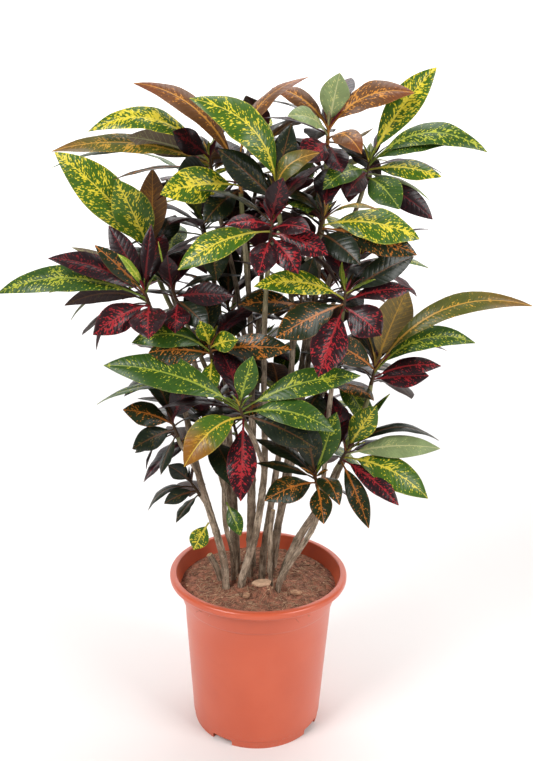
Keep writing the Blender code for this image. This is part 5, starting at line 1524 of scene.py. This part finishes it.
@dataclass(frozen=True)
class Blade:
    """A leaf set in space: where it starts and ends, the way it faces, its width and arch."""

    start: Vector
    tip: Vector
    face: Vector
    width: float
    bow: float

    petiole_half = 1.1 * MM
    petiole_share = 0.13
    thickness = 1.2 * MM
    fold = math.radians(3)
    stations = ((0.33, 0.68), (0.57, 0.96), (0.80, 0.68))

    def spine(self, t: float) -> Vector:
        """A point of the midrib, from the foot at 0 to the tip at 1."""
        chord = self.tip - self.start
        length = chord.length
        rise = self.lift() * (self.bow * length)
        near = self.start + chord / 3 + rise
        far = self.start + chord * 2 / 3 + rise
        s = 1 - t
        return (self.start * s ** 3 + near * (3 * s * s * t) + far * (3 * s * t * t)
                + self.tip * t ** 3)

    def lift(self) -> Vector:
        """The way the midrib arches: between the way the leaf faces and straight up."""
        chord = (self.tip - self.start).normalized()
        way = self.face.normalized() + Vector((0, 0, 0.8))
        way -= chord * way.dot(chord)
        return way.normalized()

    def frame(self, t: float) -> tuple[Vector, Vector, Vector]:
        """The midrib point, the side vector and the upward vector of the blade there."""
        here = self.spine(t)
        along = (self.spine(min(1, t + 0.02)) - self.spine(max(0, t - 0.02))).normalized()
        up = (self.face - along * self.face.dot(along)).normalized()
        return here, along.cross(up), up

    def solid(self, thickness: float) -> bmesh.types.BMesh:
        """The leaf's plain closed form, which shows where it touches its neighbours.

        Args:
            thickness: How thick the form is.

        Returns:
            The form.
        """
        bm = bmesh.new()
        rings = []
        half = self.petiole_half + (thickness - self.thickness) / 2
        for t in (0, self.petiole_share):
            here, side, up = self.frame(t)
            rings.append([here - side * half + up * half * 0.7, here + side * half + up * half * 0.7,
                          here - up * half])
        for t, share in self.stations:
            here, side, up = self.frame(t)
            reach = self.width / 2 * share
            out, high = reach * math.cos(self.fold), reach * math.sin(self.fold)
            rings.append([here - side * out + up * high, here + side * out + up * high,
                          here - up * thickness])
        rings = [[bm.verts.new(co) for co in ring] for ring in rings]
        for low, high in zip(rings, rings[1:]):
            for k in range(3):
                nxt = (k + 1) % 3
                bm.faces.new((low[k], low[nxt], high[nxt]))
                bm.faces.new((low[k], high[nxt], high[k]))
        end = bm.verts.new(self.tip)
        for k in range(3):
            bm.faces.new((rings[-1][k], rings[-1][(k + 1) % 3], end))
        bm.faces.new(rings[0][::-1])
        bmesh.ops.recalc_face_normals(bm, faces=bm.faces)
        return bm


@dataclass(frozen=True)
class Tree:
    """A search tree of a solid, with its box."""

    tree: BVHTree
    low: Vector
    high: Vector

    @classmethod
    def of(cls, bm: bmesh.types.BMesh) -> "Tree":
        """The search tree of a mesh."""
        cos = [vert.co for vert in bm.verts]
        low = Vector([min(co[k] for co in cos) for k in range(3)])
        high = Vector([max(co[k] for co in cos) for k in range(3)])
        return cls(BVHTree.FromBMesh(bm), low, high)

    def touches(self, other: "Tree") -> bool:
        """Whether the surfaces of two solids cross."""
        if any(self.low[k] > other.high[k] or other.low[k] > self.high[k] for k in range(3)):
            return False
        return bool(self.tree.overlap(other.tree))


def smooth_step(value: float, low: float, high: float) -> float:
    """Rise smoothly from 0 at low to 1 at high."""
    share = min(1.0, max(0.0, (value - low) / (high - low)))
    return share * share * (3 - 2 * share)


@dataclass(frozen=True)
class Settler:
    """Sets every leaf in space, nudged where needed so that no two crowns touch."""

    wood: Wood
    shoot_base: float = 2.4 * MM
    shoot_tip: float = 1.5 * MM
    shoot_sides: int = 5
    thickness: float = 2.6 * MM
    steps: tuple[int, ...] = (0, 5, -5, 10, -10, 16, -16, 23, -23, 31, -31)
    shorter: tuple[float, ...] = (1.0, 0.85, 0.7, 0.55)
    own_share: float = 0.38
    spiral_length: float = 11.0
    top_length: float = 9.5
    top_crown: str = "crown_back_top"
    shortening: float = 0.25
    low_rise: float = -34
    high_rise: float = 44
    low_width: float = 4.3
    high_width: float = 3.6
    spiral_bow: float = 0.16

    def shoot_solid(self, foot: Vector, along: Vector, spare: float) -> bmesh.types.BMesh:
        """The green shoot tip that the leaves of a crown grow from.

        Args:
            foot: Where the shoot starts.
            along: The way it grows.
            spare: How much thicker than the shoot the solid is, on each side.

        Returns:
            The solid.
        """
        path = [foot + along * self.wood.shoot_length * t for t in (0, 1)]
        return tube(path, [self.shoot_base + spare, self.shoot_tip + spare], self.shoot_sides)

    def settle(self) -> tuple[dict[str, Shoot], dict[str, list[tuple[Blade, Paint]]]]:
        """Place the listed leaves of all crowns first and the spiral leaves round them.

        Returns:
            The shoot of each crown, and its leaves.
        """
        runs = self.wood.coarse_runs()
        spare = 1.5 * GAP
        blocks = [(Tree.of(tube(run.path, [r + spare for r in run.radii],
                                self.wood.coarse_sides)), "wood") for run in runs]
        shoots = {run.crown: run.shoot for run in runs if run.crown}
        blocks += [(Tree.of(self.shoot_solid(*shoot, spare)), name)
                   for name, shoot in shoots.items()]
        placed = {crown.name: [] for crown in CROWNS}
        inner = {crown.name: [] for crown in CROWNS}
        spirals = {crown.name: self.spiral_leaves(crown) for crown in CROWNS}
        jobs = [(crown, leaf, True) for crown in CROWNS for leaf in crown.leaves]
        jobs += [(crown, leaf, False) for crown in CROWNS for leaf in spirals[crown.name]]
        for crown, leaf, by_hand in jobs:
            foot, along = shoots[crown.name]
            rank = self.climbing_rank(crown, leaf, crown.leaves + spirals[crown.name])
            start = foot + along * self.wood.shoot_length * (0.12 + 0.82 * rank)
            blade = self.first_clear(crown.name, leaf, start, blocks, inner[crown.name], by_hand)
            if blade is None:
                continue
            blocks.append((Tree.of(blade.solid(self.thickness)), crown.name))
            inner[crown.name].append(self.outer_tree(blade))
            placed[crown.name].append((blade, leaf.paint))
        return shoots, placed

    def spiral_leaves(self, crown: Crown) -> list[Leaf]:
        """The plain leaves of a crown, each a golden angle round from the last, lowest first."""
        start, end = (math.radians(angle) for angle in crown.arc)
        leaves = []
        for i in range(crown.fill):
            inner = i / max(1, crown.fill - 1)
            turn = (i * GOLDEN_ANGLE + crown.tip[0]) % math.tau
            turn = start + (end - start) * turn / math.tau
            rise = math.radians(self.low_rise + (self.high_rise - self.low_rise) * inner)
            reach = self.top_length if crown.name == self.top_crown else self.spiral_length
            reach *= 1.0 - self.shortening * inner
            way = Vector((math.cos(turn) * math.cos(rise), math.sin(turn) * math.cos(rise),
                          math.sin(rise)))
            tip = Vector(crown.tip) + way * reach
            paint = crown.fill_paints[i % len(crown.fill_paints)]
            width = self.low_width + (self.high_width - self.low_width) * inner
            leaves.append(Leaf(paint, tuple(tip), width, self.spiral_bow, Face.AUTO))
        return leaves

    def climbing_rank(self, crown: Crown, leaf: Leaf, leaves: list[Leaf]) -> float:
        """How high on its shoot a leaf sits, from 0 to 1: the steeper it climbs, the higher."""
        def climb(one: Leaf) -> float:
            """How steeply a leaf climbs."""
            return (Vector(one.tip) - Vector(crown.tip)).normalized().z

        below = sum(1 for other in leaves if climb(other) < climb(leaf))
        return below / max(1, len(leaves) - 1)

    def outer_tree(self, blade: Blade) -> Tree:
        """The outer part of a leaf, which keeps clear of its own crown's leaves too."""
        bm = blade.solid(self.thickness)
        reach = (blade.tip - blade.start).length * self.own_share
        near = [vert for vert in bm.verts if (vert.co - blade.start).length < reach]
        bmesh.ops.delete(bm, geom=near, context="VERTS")
        return Tree.of(bm)

    def first_clear(self, name: str, leaf: Leaf, start: Vector, blocks: list,
                    own: list[Tree], by_hand: bool) -> Optional[Blade]:
        """The first way a leaf fits: as drawn, else nudged, else shorter.

        Args:
            name: Its crown.
            leaf: The leaf.
            start: Where it grows from.
            blocks: What stands already, with the crown that each belongs to.
            own: The outer parts of its own crown's leaves.
            by_hand: Whether it was listed, and so moves little.

        Returns:
            The leaf in space, or nothing if it fits nowhere.
        """
        chord = point(leaf.tip) - start
        for share in self.shorter:
            for spare in ((True, False) if by_hand else (True,)):
                for rise in self.steps[:7 if by_hand else None]:
                    for turn in self.steps[:5 if by_hand else None]:
                        way = turned(chord * share, math.radians(turn), math.radians(rise))
                        blade = Blade(start, start + way, facing(leaf, way),
                                      leaf.width * CM * (0.5 + 0.5 * share), leaf.bow)
                        if self.fits(name, blade, blocks, own if spare else []):
                            return blade
        return None

    def fits(self, name: str, blade: Blade, blocks: list, own: list[Tree]) -> bool:
        """Whether a leaf is clear of other crowns and the wood, and mostly of its own crown."""
        mine = Tree.of(blade.solid(self.thickness))
        if any(owner != name and mine.touches(other) for other, owner in blocks):
            return False
        if not own:
            return True
        outer = self.outer_tree(blade)
        return not any(outer.touches(other) for other in own)


def facing(leaf: Leaf, chord: Vector) -> Vector:
    """The way a leaf looks: its named face, or up and outwards at right angles to it."""
    if leaf.face is not Face.AUTO:
        way = Vector(leaf.face.value)
    else:
        way = Vector((0, 0, 1))
    way = way.normalized()
    level = way - chord.normalized() * way.dot(chord.normalized())
    if level.length < 0.2:
        level = Vector((0, -1, 0)) - chord.normalized() * -chord.normalized().y
    return level.normalized()


def turned(chord: Vector, turn: float, rise: float) -> Vector:
    """A chord swung sideways and tipped upwards by small angles."""
    swung = Matrix.Rotation(turn, 3, "Z") @ chord
    level = Vector((swung.y, -swung.x, 0))
    if level.length < 1e-6:
        return swung
    return Matrix.Rotation(rise, 3, level.normalized()) @ swung


@dataclass(frozen=True)
class LeafMaker:
    """Models leaves in detail: round petiole, folded blade, wavy rim, thin edge."""

    stations: int = 22
    columns: int = 11
    half_thick: float = 0.32 * MM
    rib_depth: float = 0.9 * MM
    rib_half: float = 1.1 * MM
    groove: float = 0.030
    cup: float = 0.12
    least_fold: float = -4
    fold_spread: float = 16
    widest: float = 0.96
    belly: float = 1.06
    fullness: float = 0.82
    point: float = 0.12

    def reach(self, blade: Blade, t: float) -> float:
        """Half the leaf's width at a share of its length."""
        s = (t - blade.petiole_share) / (1 - blade.petiole_share)
        if s <= 0:
            return 0.0
        s = min(1.0, s)
        shape = math.sin(math.pi * s ** self.belly) ** self.fullness
        return blade.width / 2 * self.widest * shape * (1 - self.point * s ** 5)

    def section(self, blade: Blade, t: float, seed: float) -> tuple[list, list]:
        """The upper and lower points across the leaf.

        Args:
            blade: The leaf.
            t: Share of its length.
            seed: Number that gives the leaf its own waves.

        Returns:
            The upper points from one rim to the other, and the lower points between the rims.
        """
        here, side, up = blade.frame(t)
        stalk = 1 - smooth_step(t, 0.10, 0.20)
        reach = max(self.reach(blade, t), 0.35 * MM)
        pipe = blade.petiole_half * (1.25 - 0.25 * smooth_step(t, 0.0, 0.06))
        fold = math.tan(math.radians(self.least_fold + self.fold_spread * (seed * 13.7 % 1.0)))
        tops, lows = [], []
        for k in range(self.columns):
            u = -1 + 2 * k / (self.columns - 1)
            phase = seed * 40 + (1.9 if u > 0 else 0.0)
            wave = math.sin(t * 17 + phase) * 0.055 + math.sin(t * 31 + phase * 1.7) * 0.022
            lift = abs(u) * fold - self.cup * u * u + wave * abs(u) ** 2.2
            lift -= self.groove * math.exp(-(u / 0.10) ** 2)
            flat = here + side * (u * reach) + up * (lift * reach - 0.3 * blade.thickness)
            turn = math.pi * (1 - (u + 1) / 2)
            arch = here + side * (math.cos(turn) * pipe) + up * (math.sin(turn) * pipe * 0.8)
            dip = here + side * (math.cos(turn) * pipe) - up * (math.sin(turn) * pipe)
            edge = 1 - abs(u) ** 4
            rib = self.rib_depth * math.exp(-(u * reach / self.rib_half) ** 2)
            rib *= 1 - smooth_step(t, 0.7, 1.0)
            tops.append(flat.lerp(arch, stalk) + up * self.half_thick * edge * (1 - stalk))
            low = flat - up * (self.half_thick * edge + rib)
            lows.append(low.lerp(dip, stalk))
        return tops, lows[1:-1]

    def add(self, bm: bmesh.types.BMesh, blade: Blade, seed: float, index: int,
            layers: "LeafLayers", cells: list["Cell"]) -> None:
        """Add a leaf to a mesh.

        Args:
            bm: The mesh.
            blade: The leaf.
            seed: Number from 0 to 1 that makes it differ from others.
            index: Its material index.
            layers: Where its own coordinates are kept.
            cells: The parts of the map for its upper side and its underside.
        """
        rings = []
        length = (blade.tip - blade.start).length
        for i in range(self.stations + 1):
            t = i / self.stations
            t = t * (0.82 + 0.18 * t) if i else 0.0
            tops, lows = self.section(blade, t, seed)
            reach = self.reach(blade, t)
            across = [-1 + 2 * k / (self.columns - 1) for k in range(self.columns)]
            points = [(u, co, 0.5 if abs(u) == 1 else 0.0) for u, co in zip(across, tops)]
            points += [(u, co, 1.0) for u, co in zip(across[-2:0:-1], lows[::-1])]
            ring = []
            for u, co, under in points:
                vert = bm.verts.new(co)
                vert[layers.own] = (u, t, seed)
                vert[layers.flat] = (u * reach, t * length, seed)
                vert[layers.under] = under
                ring.append(vert)
            rings.append(ring)
        for face in skin(bm, rings, True, index):
            lower = any(loop.vert[layers.under] > 0.9 for loop in face.loops)
            cell = cells[1 if lower else 0]
            for loop in face.loops:
                u, t, _ = loop.vert[layers.own]
                loop[layers.bake].uv = cell.at((u + 1) / 2, t)


@dataclass(frozen=True)
class LeafLayers:
    """Where a crown's mesh keeps each leaf's own coordinates and its map for baking."""

    own: bmesh.types.BMLayerItem
    flat: bmesh.types.BMLayerItem
    under: bmesh.types.BMLayerItem
    bake: bmesh.types.BMLayerItem

    @classmethod
    def of(cls, bm: bmesh.types.BMesh) -> "LeafLayers":
        """Make the layers on a mesh that is still empty."""
        bm.verts.layers.float_vector.new("leaf")
        bm.verts.layers.float_vector.new("flat")
        bm.verts.layers.float.new("under")
        bm.loops.layers.uv.new(BAKE_LAYER)
        vectors = bm.verts.layers.float_vector
        return cls(vectors["leaf"], vectors["flat"], bm.verts.layers.float["under"],
                   bm.loops.layers.uv[BAKE_LAYER])


@dataclass(frozen=True)
class Cell:
    """One upright part of the map for baking."""

    left: float
    low: float
    width: float
    height: float
    margin: float = 0.06

    def at(self, u: float, v: float) -> tuple[float, float]:
        """A point of the map, from shares of the cell's width and height."""
        inner = 1 - 2 * self.margin
        rise = self.margin / 3
        return (self.left + self.width * (self.margin + inner * u),
                self.low + self.height * (rise + (1 - 2 * rise) * v))

    @staticmethod
    def sheet(count: int) -> list["Cell"]:
        """Divide the map into a number of upright cells."""
        rows = max(1, round(math.sqrt(count / 4)))
        columns = math.ceil(count / rows)
        return [Cell((i % columns) / columns, (i // columns) / rows, 1 / columns, 1 / rows)
                for i in range(count)]


@dataclass(frozen=True)
class Foliage:
    """All the leaves: one piece for each crown, and the leaves straight off a stem."""

    wood: Wood
    settler: Settler
    maker: LeafMaker
    buds: int = 7
    bud_length: float = 34 * MM
    bud_bow: float = 0.10
    shoot_rings: int = 14
    shoot_sides: int = 10
    lone_standoff: float = 1.2 * MM

    def build(self) -> None:
        """Each crown and lone leaf as a piece."""
        paints = {paint: LeafPaint().material(paint) for paint in Paint}
        shoots, placed = self.settler.settle()
        for crown in CROWNS:
            self.crown(crown, shoots[crown.name], placed[crown.name], paints)
        for name, stem, height, leaf in LONE_LEAVES:
            self.leafy_piece(name, None, [(self.lone_blade(stem, height, leaf), leaf.paint)],
                             paints)

    def crown(self, crown: Crown, shoot: Shoot, blades: list[tuple[Blade, Paint]],
              paints: dict[Paint, bpy.types.Material]) -> None:
        """One crown with its shoot and the young leaves at its tip.

        Args:
            crown: The crown.
            shoot: Its shoot.
            blades: Its leaves.
            paints: The material of each sort of leaf.
        """
        foot, along = shoot
        luck = random.Random(crown.name)
        tip = foot + along * self.wood.shoot_length
        young = []
        for k in range(self.buds):
            grown = (k + 1) / self.buds
            turn = k * GOLDEN_ANGLE + luck.uniform(-0.3, 0.3)
            lean = Vector((math.cos(turn), math.sin(turn), 0)) * (0.15 + 0.75 * grown)
            way = (along + lean).normalized() * self.bud_length * (0.35 + 0.65 * grown)
            face = (-lean - way.normalized() * -lean.dot(way.normalized())).normalized()
            start = tip - along * (1.0 + 6.0 * grown) * MM
            width = way.length * (0.20 + 0.08 * grown)
            young.append((Blade(start, start + way, face, width, self.bud_bow),
                          blades[k % len(blades)][1]))
        self.leafy_piece(crown.name, shoot, blades + young, paints)

    def leafy_piece(self, node: str, shoot: Optional[Shoot],
                    blades: list[tuple[Blade, Paint]],
                    paints: dict[Paint, bpy.types.Material]) -> None:
        """A mesh of leaves, and a shoot if there is one.

        Args:
            node: The frame's node that it stands for.
            shoot: The shoot that the leaves grow from.
            blades: The leaves.
            paints: The material of each sort of leaf.
        """
        bm = bmesh.new()
        layers = LeafLayers.of(bm)
        used = sorted({paint for _, paint in blades}, key=lambda paint: paint.name)
        cells = Cell.sheet(2 * len(blades) + 1)
        luck = random.Random(node)
        for i, (blade, paint) in enumerate(blades):
            self.maker.add(bm, blade, luck.random(), used.index(paint), layers,
                           cells[2 * i:2 * i + 2])
        if shoot:
            self.add_shoot(bm, shoot, layers, cells[-1])
        piece(f"{node}_foliage", bm, [paints[paint] for paint in used], [node], 75)

    def add_shoot(self, bm: bmesh.types.BMesh, shoot: Shoot, layers: LeafLayers,
                  cell: Cell) -> None:
        """Add the green shoot, ringed with leaf scars.

        Args:
            bm: The mesh.
            shoot: Its foot and the way it grows.
            layers: Where the leaves' own coordinates are kept.
            cell: Its part of the map.
        """
        foot, along = shoot
        count = self.shoot_rings
        path = [foot + along * self.wood.shoot_length * k / count for k in range(count + 1)]
        rings = []
        for i, ring in enumerate(rings_along(path, self.shoot_sides)):
            share = i / count
            radius = self.settler.shoot_base * 1.1 * (1 - share) + self.settler.shoot_tip * share
            radius *= 1.10 if i % 3 == 1 else 1.0
            verts = [bm.verts.new(centre + out * radius) for centre, out, _ in ring]
            for vert in verts:
                vert[layers.own] = (0.5, 0.04 + 0.03 * share, 0.5)
            rings.append(verts)
        for face in skin(bm, rings):
            for loop in face.loops:
                centre = foot + along * self.wood.shoot_length / 2
                away = loop.vert.co - centre
                turn = math.atan2(away.y, away.x) / math.tau + 0.5
                rise = away.dot(along) / self.wood.shoot_length + 0.5
                loop[layers.bake].uv = cell.at(turn, min(1.0, max(0.0, rise)))

    def lone_blade(self, stem_name: str, height: float, leaf: Leaf) -> Blade:
        """A leaf that grows straight off a stem.

        Args:
            stem_name: The stem.
            height: How high up it grows, in cm.
            leaf: The leaf.

        Returns:
            The leaf in space.
        """
        stem = next(stem for stem in STEMS if stem.name == stem_name)
        run = self.wood.runs(stem, self.wood.coarse_step)[0]
        above = next(i for i, p in enumerate(run.path) if p.z > height * CM)
        low, high = run.path[above - 1], run.path[above]
        share = (height * CM - low.z) / (high.z - low.z)
        heart = low.lerp(high, share)
        radius = run.radii[above - 1] + (run.radii[above] - run.radii[above - 1]) * share
        out = point(leaf.tip) - heart
        out.z = 0
        start = heart + out.normalized() * (radius + self.lone_standoff)
        chord = point(leaf.tip) - start
        return Blade(start, point(leaf.tip), facing(leaf, chord), leaf.width * CM, leaf.bow)


# Studio ---------------------------------------------------------------------------------------

@dataclass(frozen=True)
class Lamp:
    """One soft rectangular light."""

    name: str
    place: tuple[float, float, float]
    size: float
    power: float
    colour: Colour


@dataclass(frozen=True)
class Studio:
    """The camera, the pale floor that curves up behind, and the soft lights.

    The far floor glows, so that it stays pale from the sides and from behind.
    """

    target: tuple[float, float, float] = (0.0, 0.0, 0.45)
    camera_place: tuple[float, float, float] = (0.0066, -0.9946, 0.7365)
    camera_down: float = 0.2502
    camera_roll: float = 0.0170
    lens: float = 37.845
    sensor: float = 36.0
    sweep_back: float = 1.9
    sweep_front: float = -3.2
    sweep_height: float = 3.4
    sweep_round: float = 0.9
    sweep_half_width: float = 3.6
    glow_from: float = 1.3
    glow_full: float = 2.4
    glow: float = 0.6
    world_strength: float = 0.20
    lamps: tuple[Lamp, ...] = (
        Lamp("key", (-1.45, -1.35, 1.95), 1.0, 48.0, (1.0, 0.99, 0.985)),
        Lamp("fill", (1.65, -1.15, 1.45), 1.1, 34.0, (1.0, 0.99, 0.985)),
        Lamp("top", (0.2, 0.55, 2.5), 1.4, 28.0, (1.0, 1.0, 1.0)),
    )

    def build(self) -> None:
        """Set up everything that isn't the plant."""
        self.add_camera()
        self.add_sweep()
        for lamp in self.lamps:
            self.add_lamp(lamp)
        self.add_world()
        scene = bpy.context.scene
        scene.view_settings.view_transform = "Standard"

    def add_camera(self) -> None:
        """The camera, a little above the plant's middle and looking slightly down."""
        data = bpy.data.cameras.new("camera")
        data.lens = self.lens
        data.sensor_width = self.sensor
        data.clip_start = 0.02
        data.clip_end = 50
        camera = bpy.data.objects.new("camera", data)
        bpy.context.scene.collection.objects.link(camera)
        camera.matrix_world = (Matrix.Translation(self.camera_place)
                               @ Matrix.Rotation(math.pi / 2 - self.camera_down, 4, "X")
                               @ Matrix.Rotation(self.camera_roll, 4, "Z"))
        bpy.context.scene.camera = camera

    def add_sweep(self) -> None:
        """The floor, which curves up into a backdrop."""
        bm = bmesh.new()
        bend = self.sweep_round
        line = [(self.sweep_front, 0.0), (self.sweep_back - bend, 0.0)]
        line += [(self.sweep_back - bend + bend * math.sin(math.radians(a)),
                  bend - bend * math.cos(math.radians(a))) for a in range(6, 91, 6)]
        line.append((self.sweep_back, self.sweep_height))
        left = [bm.verts.new((-self.sweep_half_width, y, z)) for y, z in line]
        right = [bm.verts.new((self.sweep_half_width, y, z)) for y, z in line]
        for k in range(len(line) - 1):
            bm.faces.new((left[k], right[k], right[k + 1], left[k + 1]))
        mesh = bpy.data.meshes.new("sweep")
        bm.to_mesh(mesh)
        bm.free()
        mesh.shade_smooth()
        sweep = bpy.data.objects.new("sweep", mesh)
        bpy.context.scene.collection.objects.link(sweep)
        shader = Shader("paper_sweep")
        cloud = shader.noise(shader.place(), 1.3, 2.0)
        width, depth, height = shader.split(shader.place())
        # Painted light: the sweep turns paler and whiter towards the back and the top, standing in for
        # the brighter-lit backdrop.
        away = (depth + height).ramp(-0.3, 1.7)
        near = shader.mix(cloud, (0.796, 0.766, 0.752), (0.808, 0.778, 0.764))
        mesh.materials.append(shader.finish(shader.mix(away, near, (0.86, 0.855, 0.85)), 0.9))
        far = (width * width + depth * depth + height * height).math("SQRT")
        glow = far.ramp(self.glow_from, self.glow_full) * self.glow
        shader.feed(shader.surface.inputs["Emission Color"], shader.join(glow, glow, glow))
        shader.surface.inputs["Emission Strength"].default_value = 1.0

    def add_lamp(self, lamp: Lamp) -> None:
        """One lamp that points at the plant."""
        data = bpy.data.lights.new(lamp.name, "AREA")
        data.shape = "SQUARE"
        data.size = lamp.size
        data.energy = lamp.power
        data.color = lamp.colour
        light = bpy.data.objects.new(lamp.name, data)
        bpy.context.scene.collection.objects.link(light)
        light.location = lamp.place
        away = Vector(self.target) - Vector(lamp.place)
        light.rotation_euler = away.to_track_quat("-Z", "Y").to_euler()

    def add_world(self) -> None:
        """Even pale light from all round."""
        world = bpy.data.worlds.new("studio")
        world.use_nodes = True
        nodes, links = world.node_tree.nodes, world.node_tree.links
        light = nodes["Background"]
        light.inputs["Color"].default_value = (1.0, 0.99, 0.985, 1.0)
        light.inputs["Strength"].default_value = self.world_strength
        seen = nodes.new("ShaderNodeBackground")
        seen.inputs["Color"].default_value = (1.0, 1.0, 1.0, 1.0)
        ray = nodes.new("ShaderNodeLightPath")
        mix = nodes.new("ShaderNodeMixShader")
        links.new(ray.outputs["Is Camera Ray"], mix.inputs["Fac"])
        links.new(light.outputs["Background"], mix.inputs[1])
        links.new(seen.outputs["Background"], mix.inputs[2])
        links.new(mix.outputs["Shader"], nodes["World Output"].inputs["Surface"])
        bpy.context.scene.world = world


def main() -> None:
    """Load the frame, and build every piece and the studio."""
    logging.basicConfig(level=logging.INFO, format="%(name)s: %(message)s")
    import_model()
    pot = Pot()
    soil = SoilBed(pot)
    wood = Wood()
    pot.build()
    soil.build()
    BarkFlakes(soil).build()
    wood.build()
    Foliage(wood, Settler(wood), LeafMaker()).build()
    Studio().build()


if __name__ == "__main__":
    main()
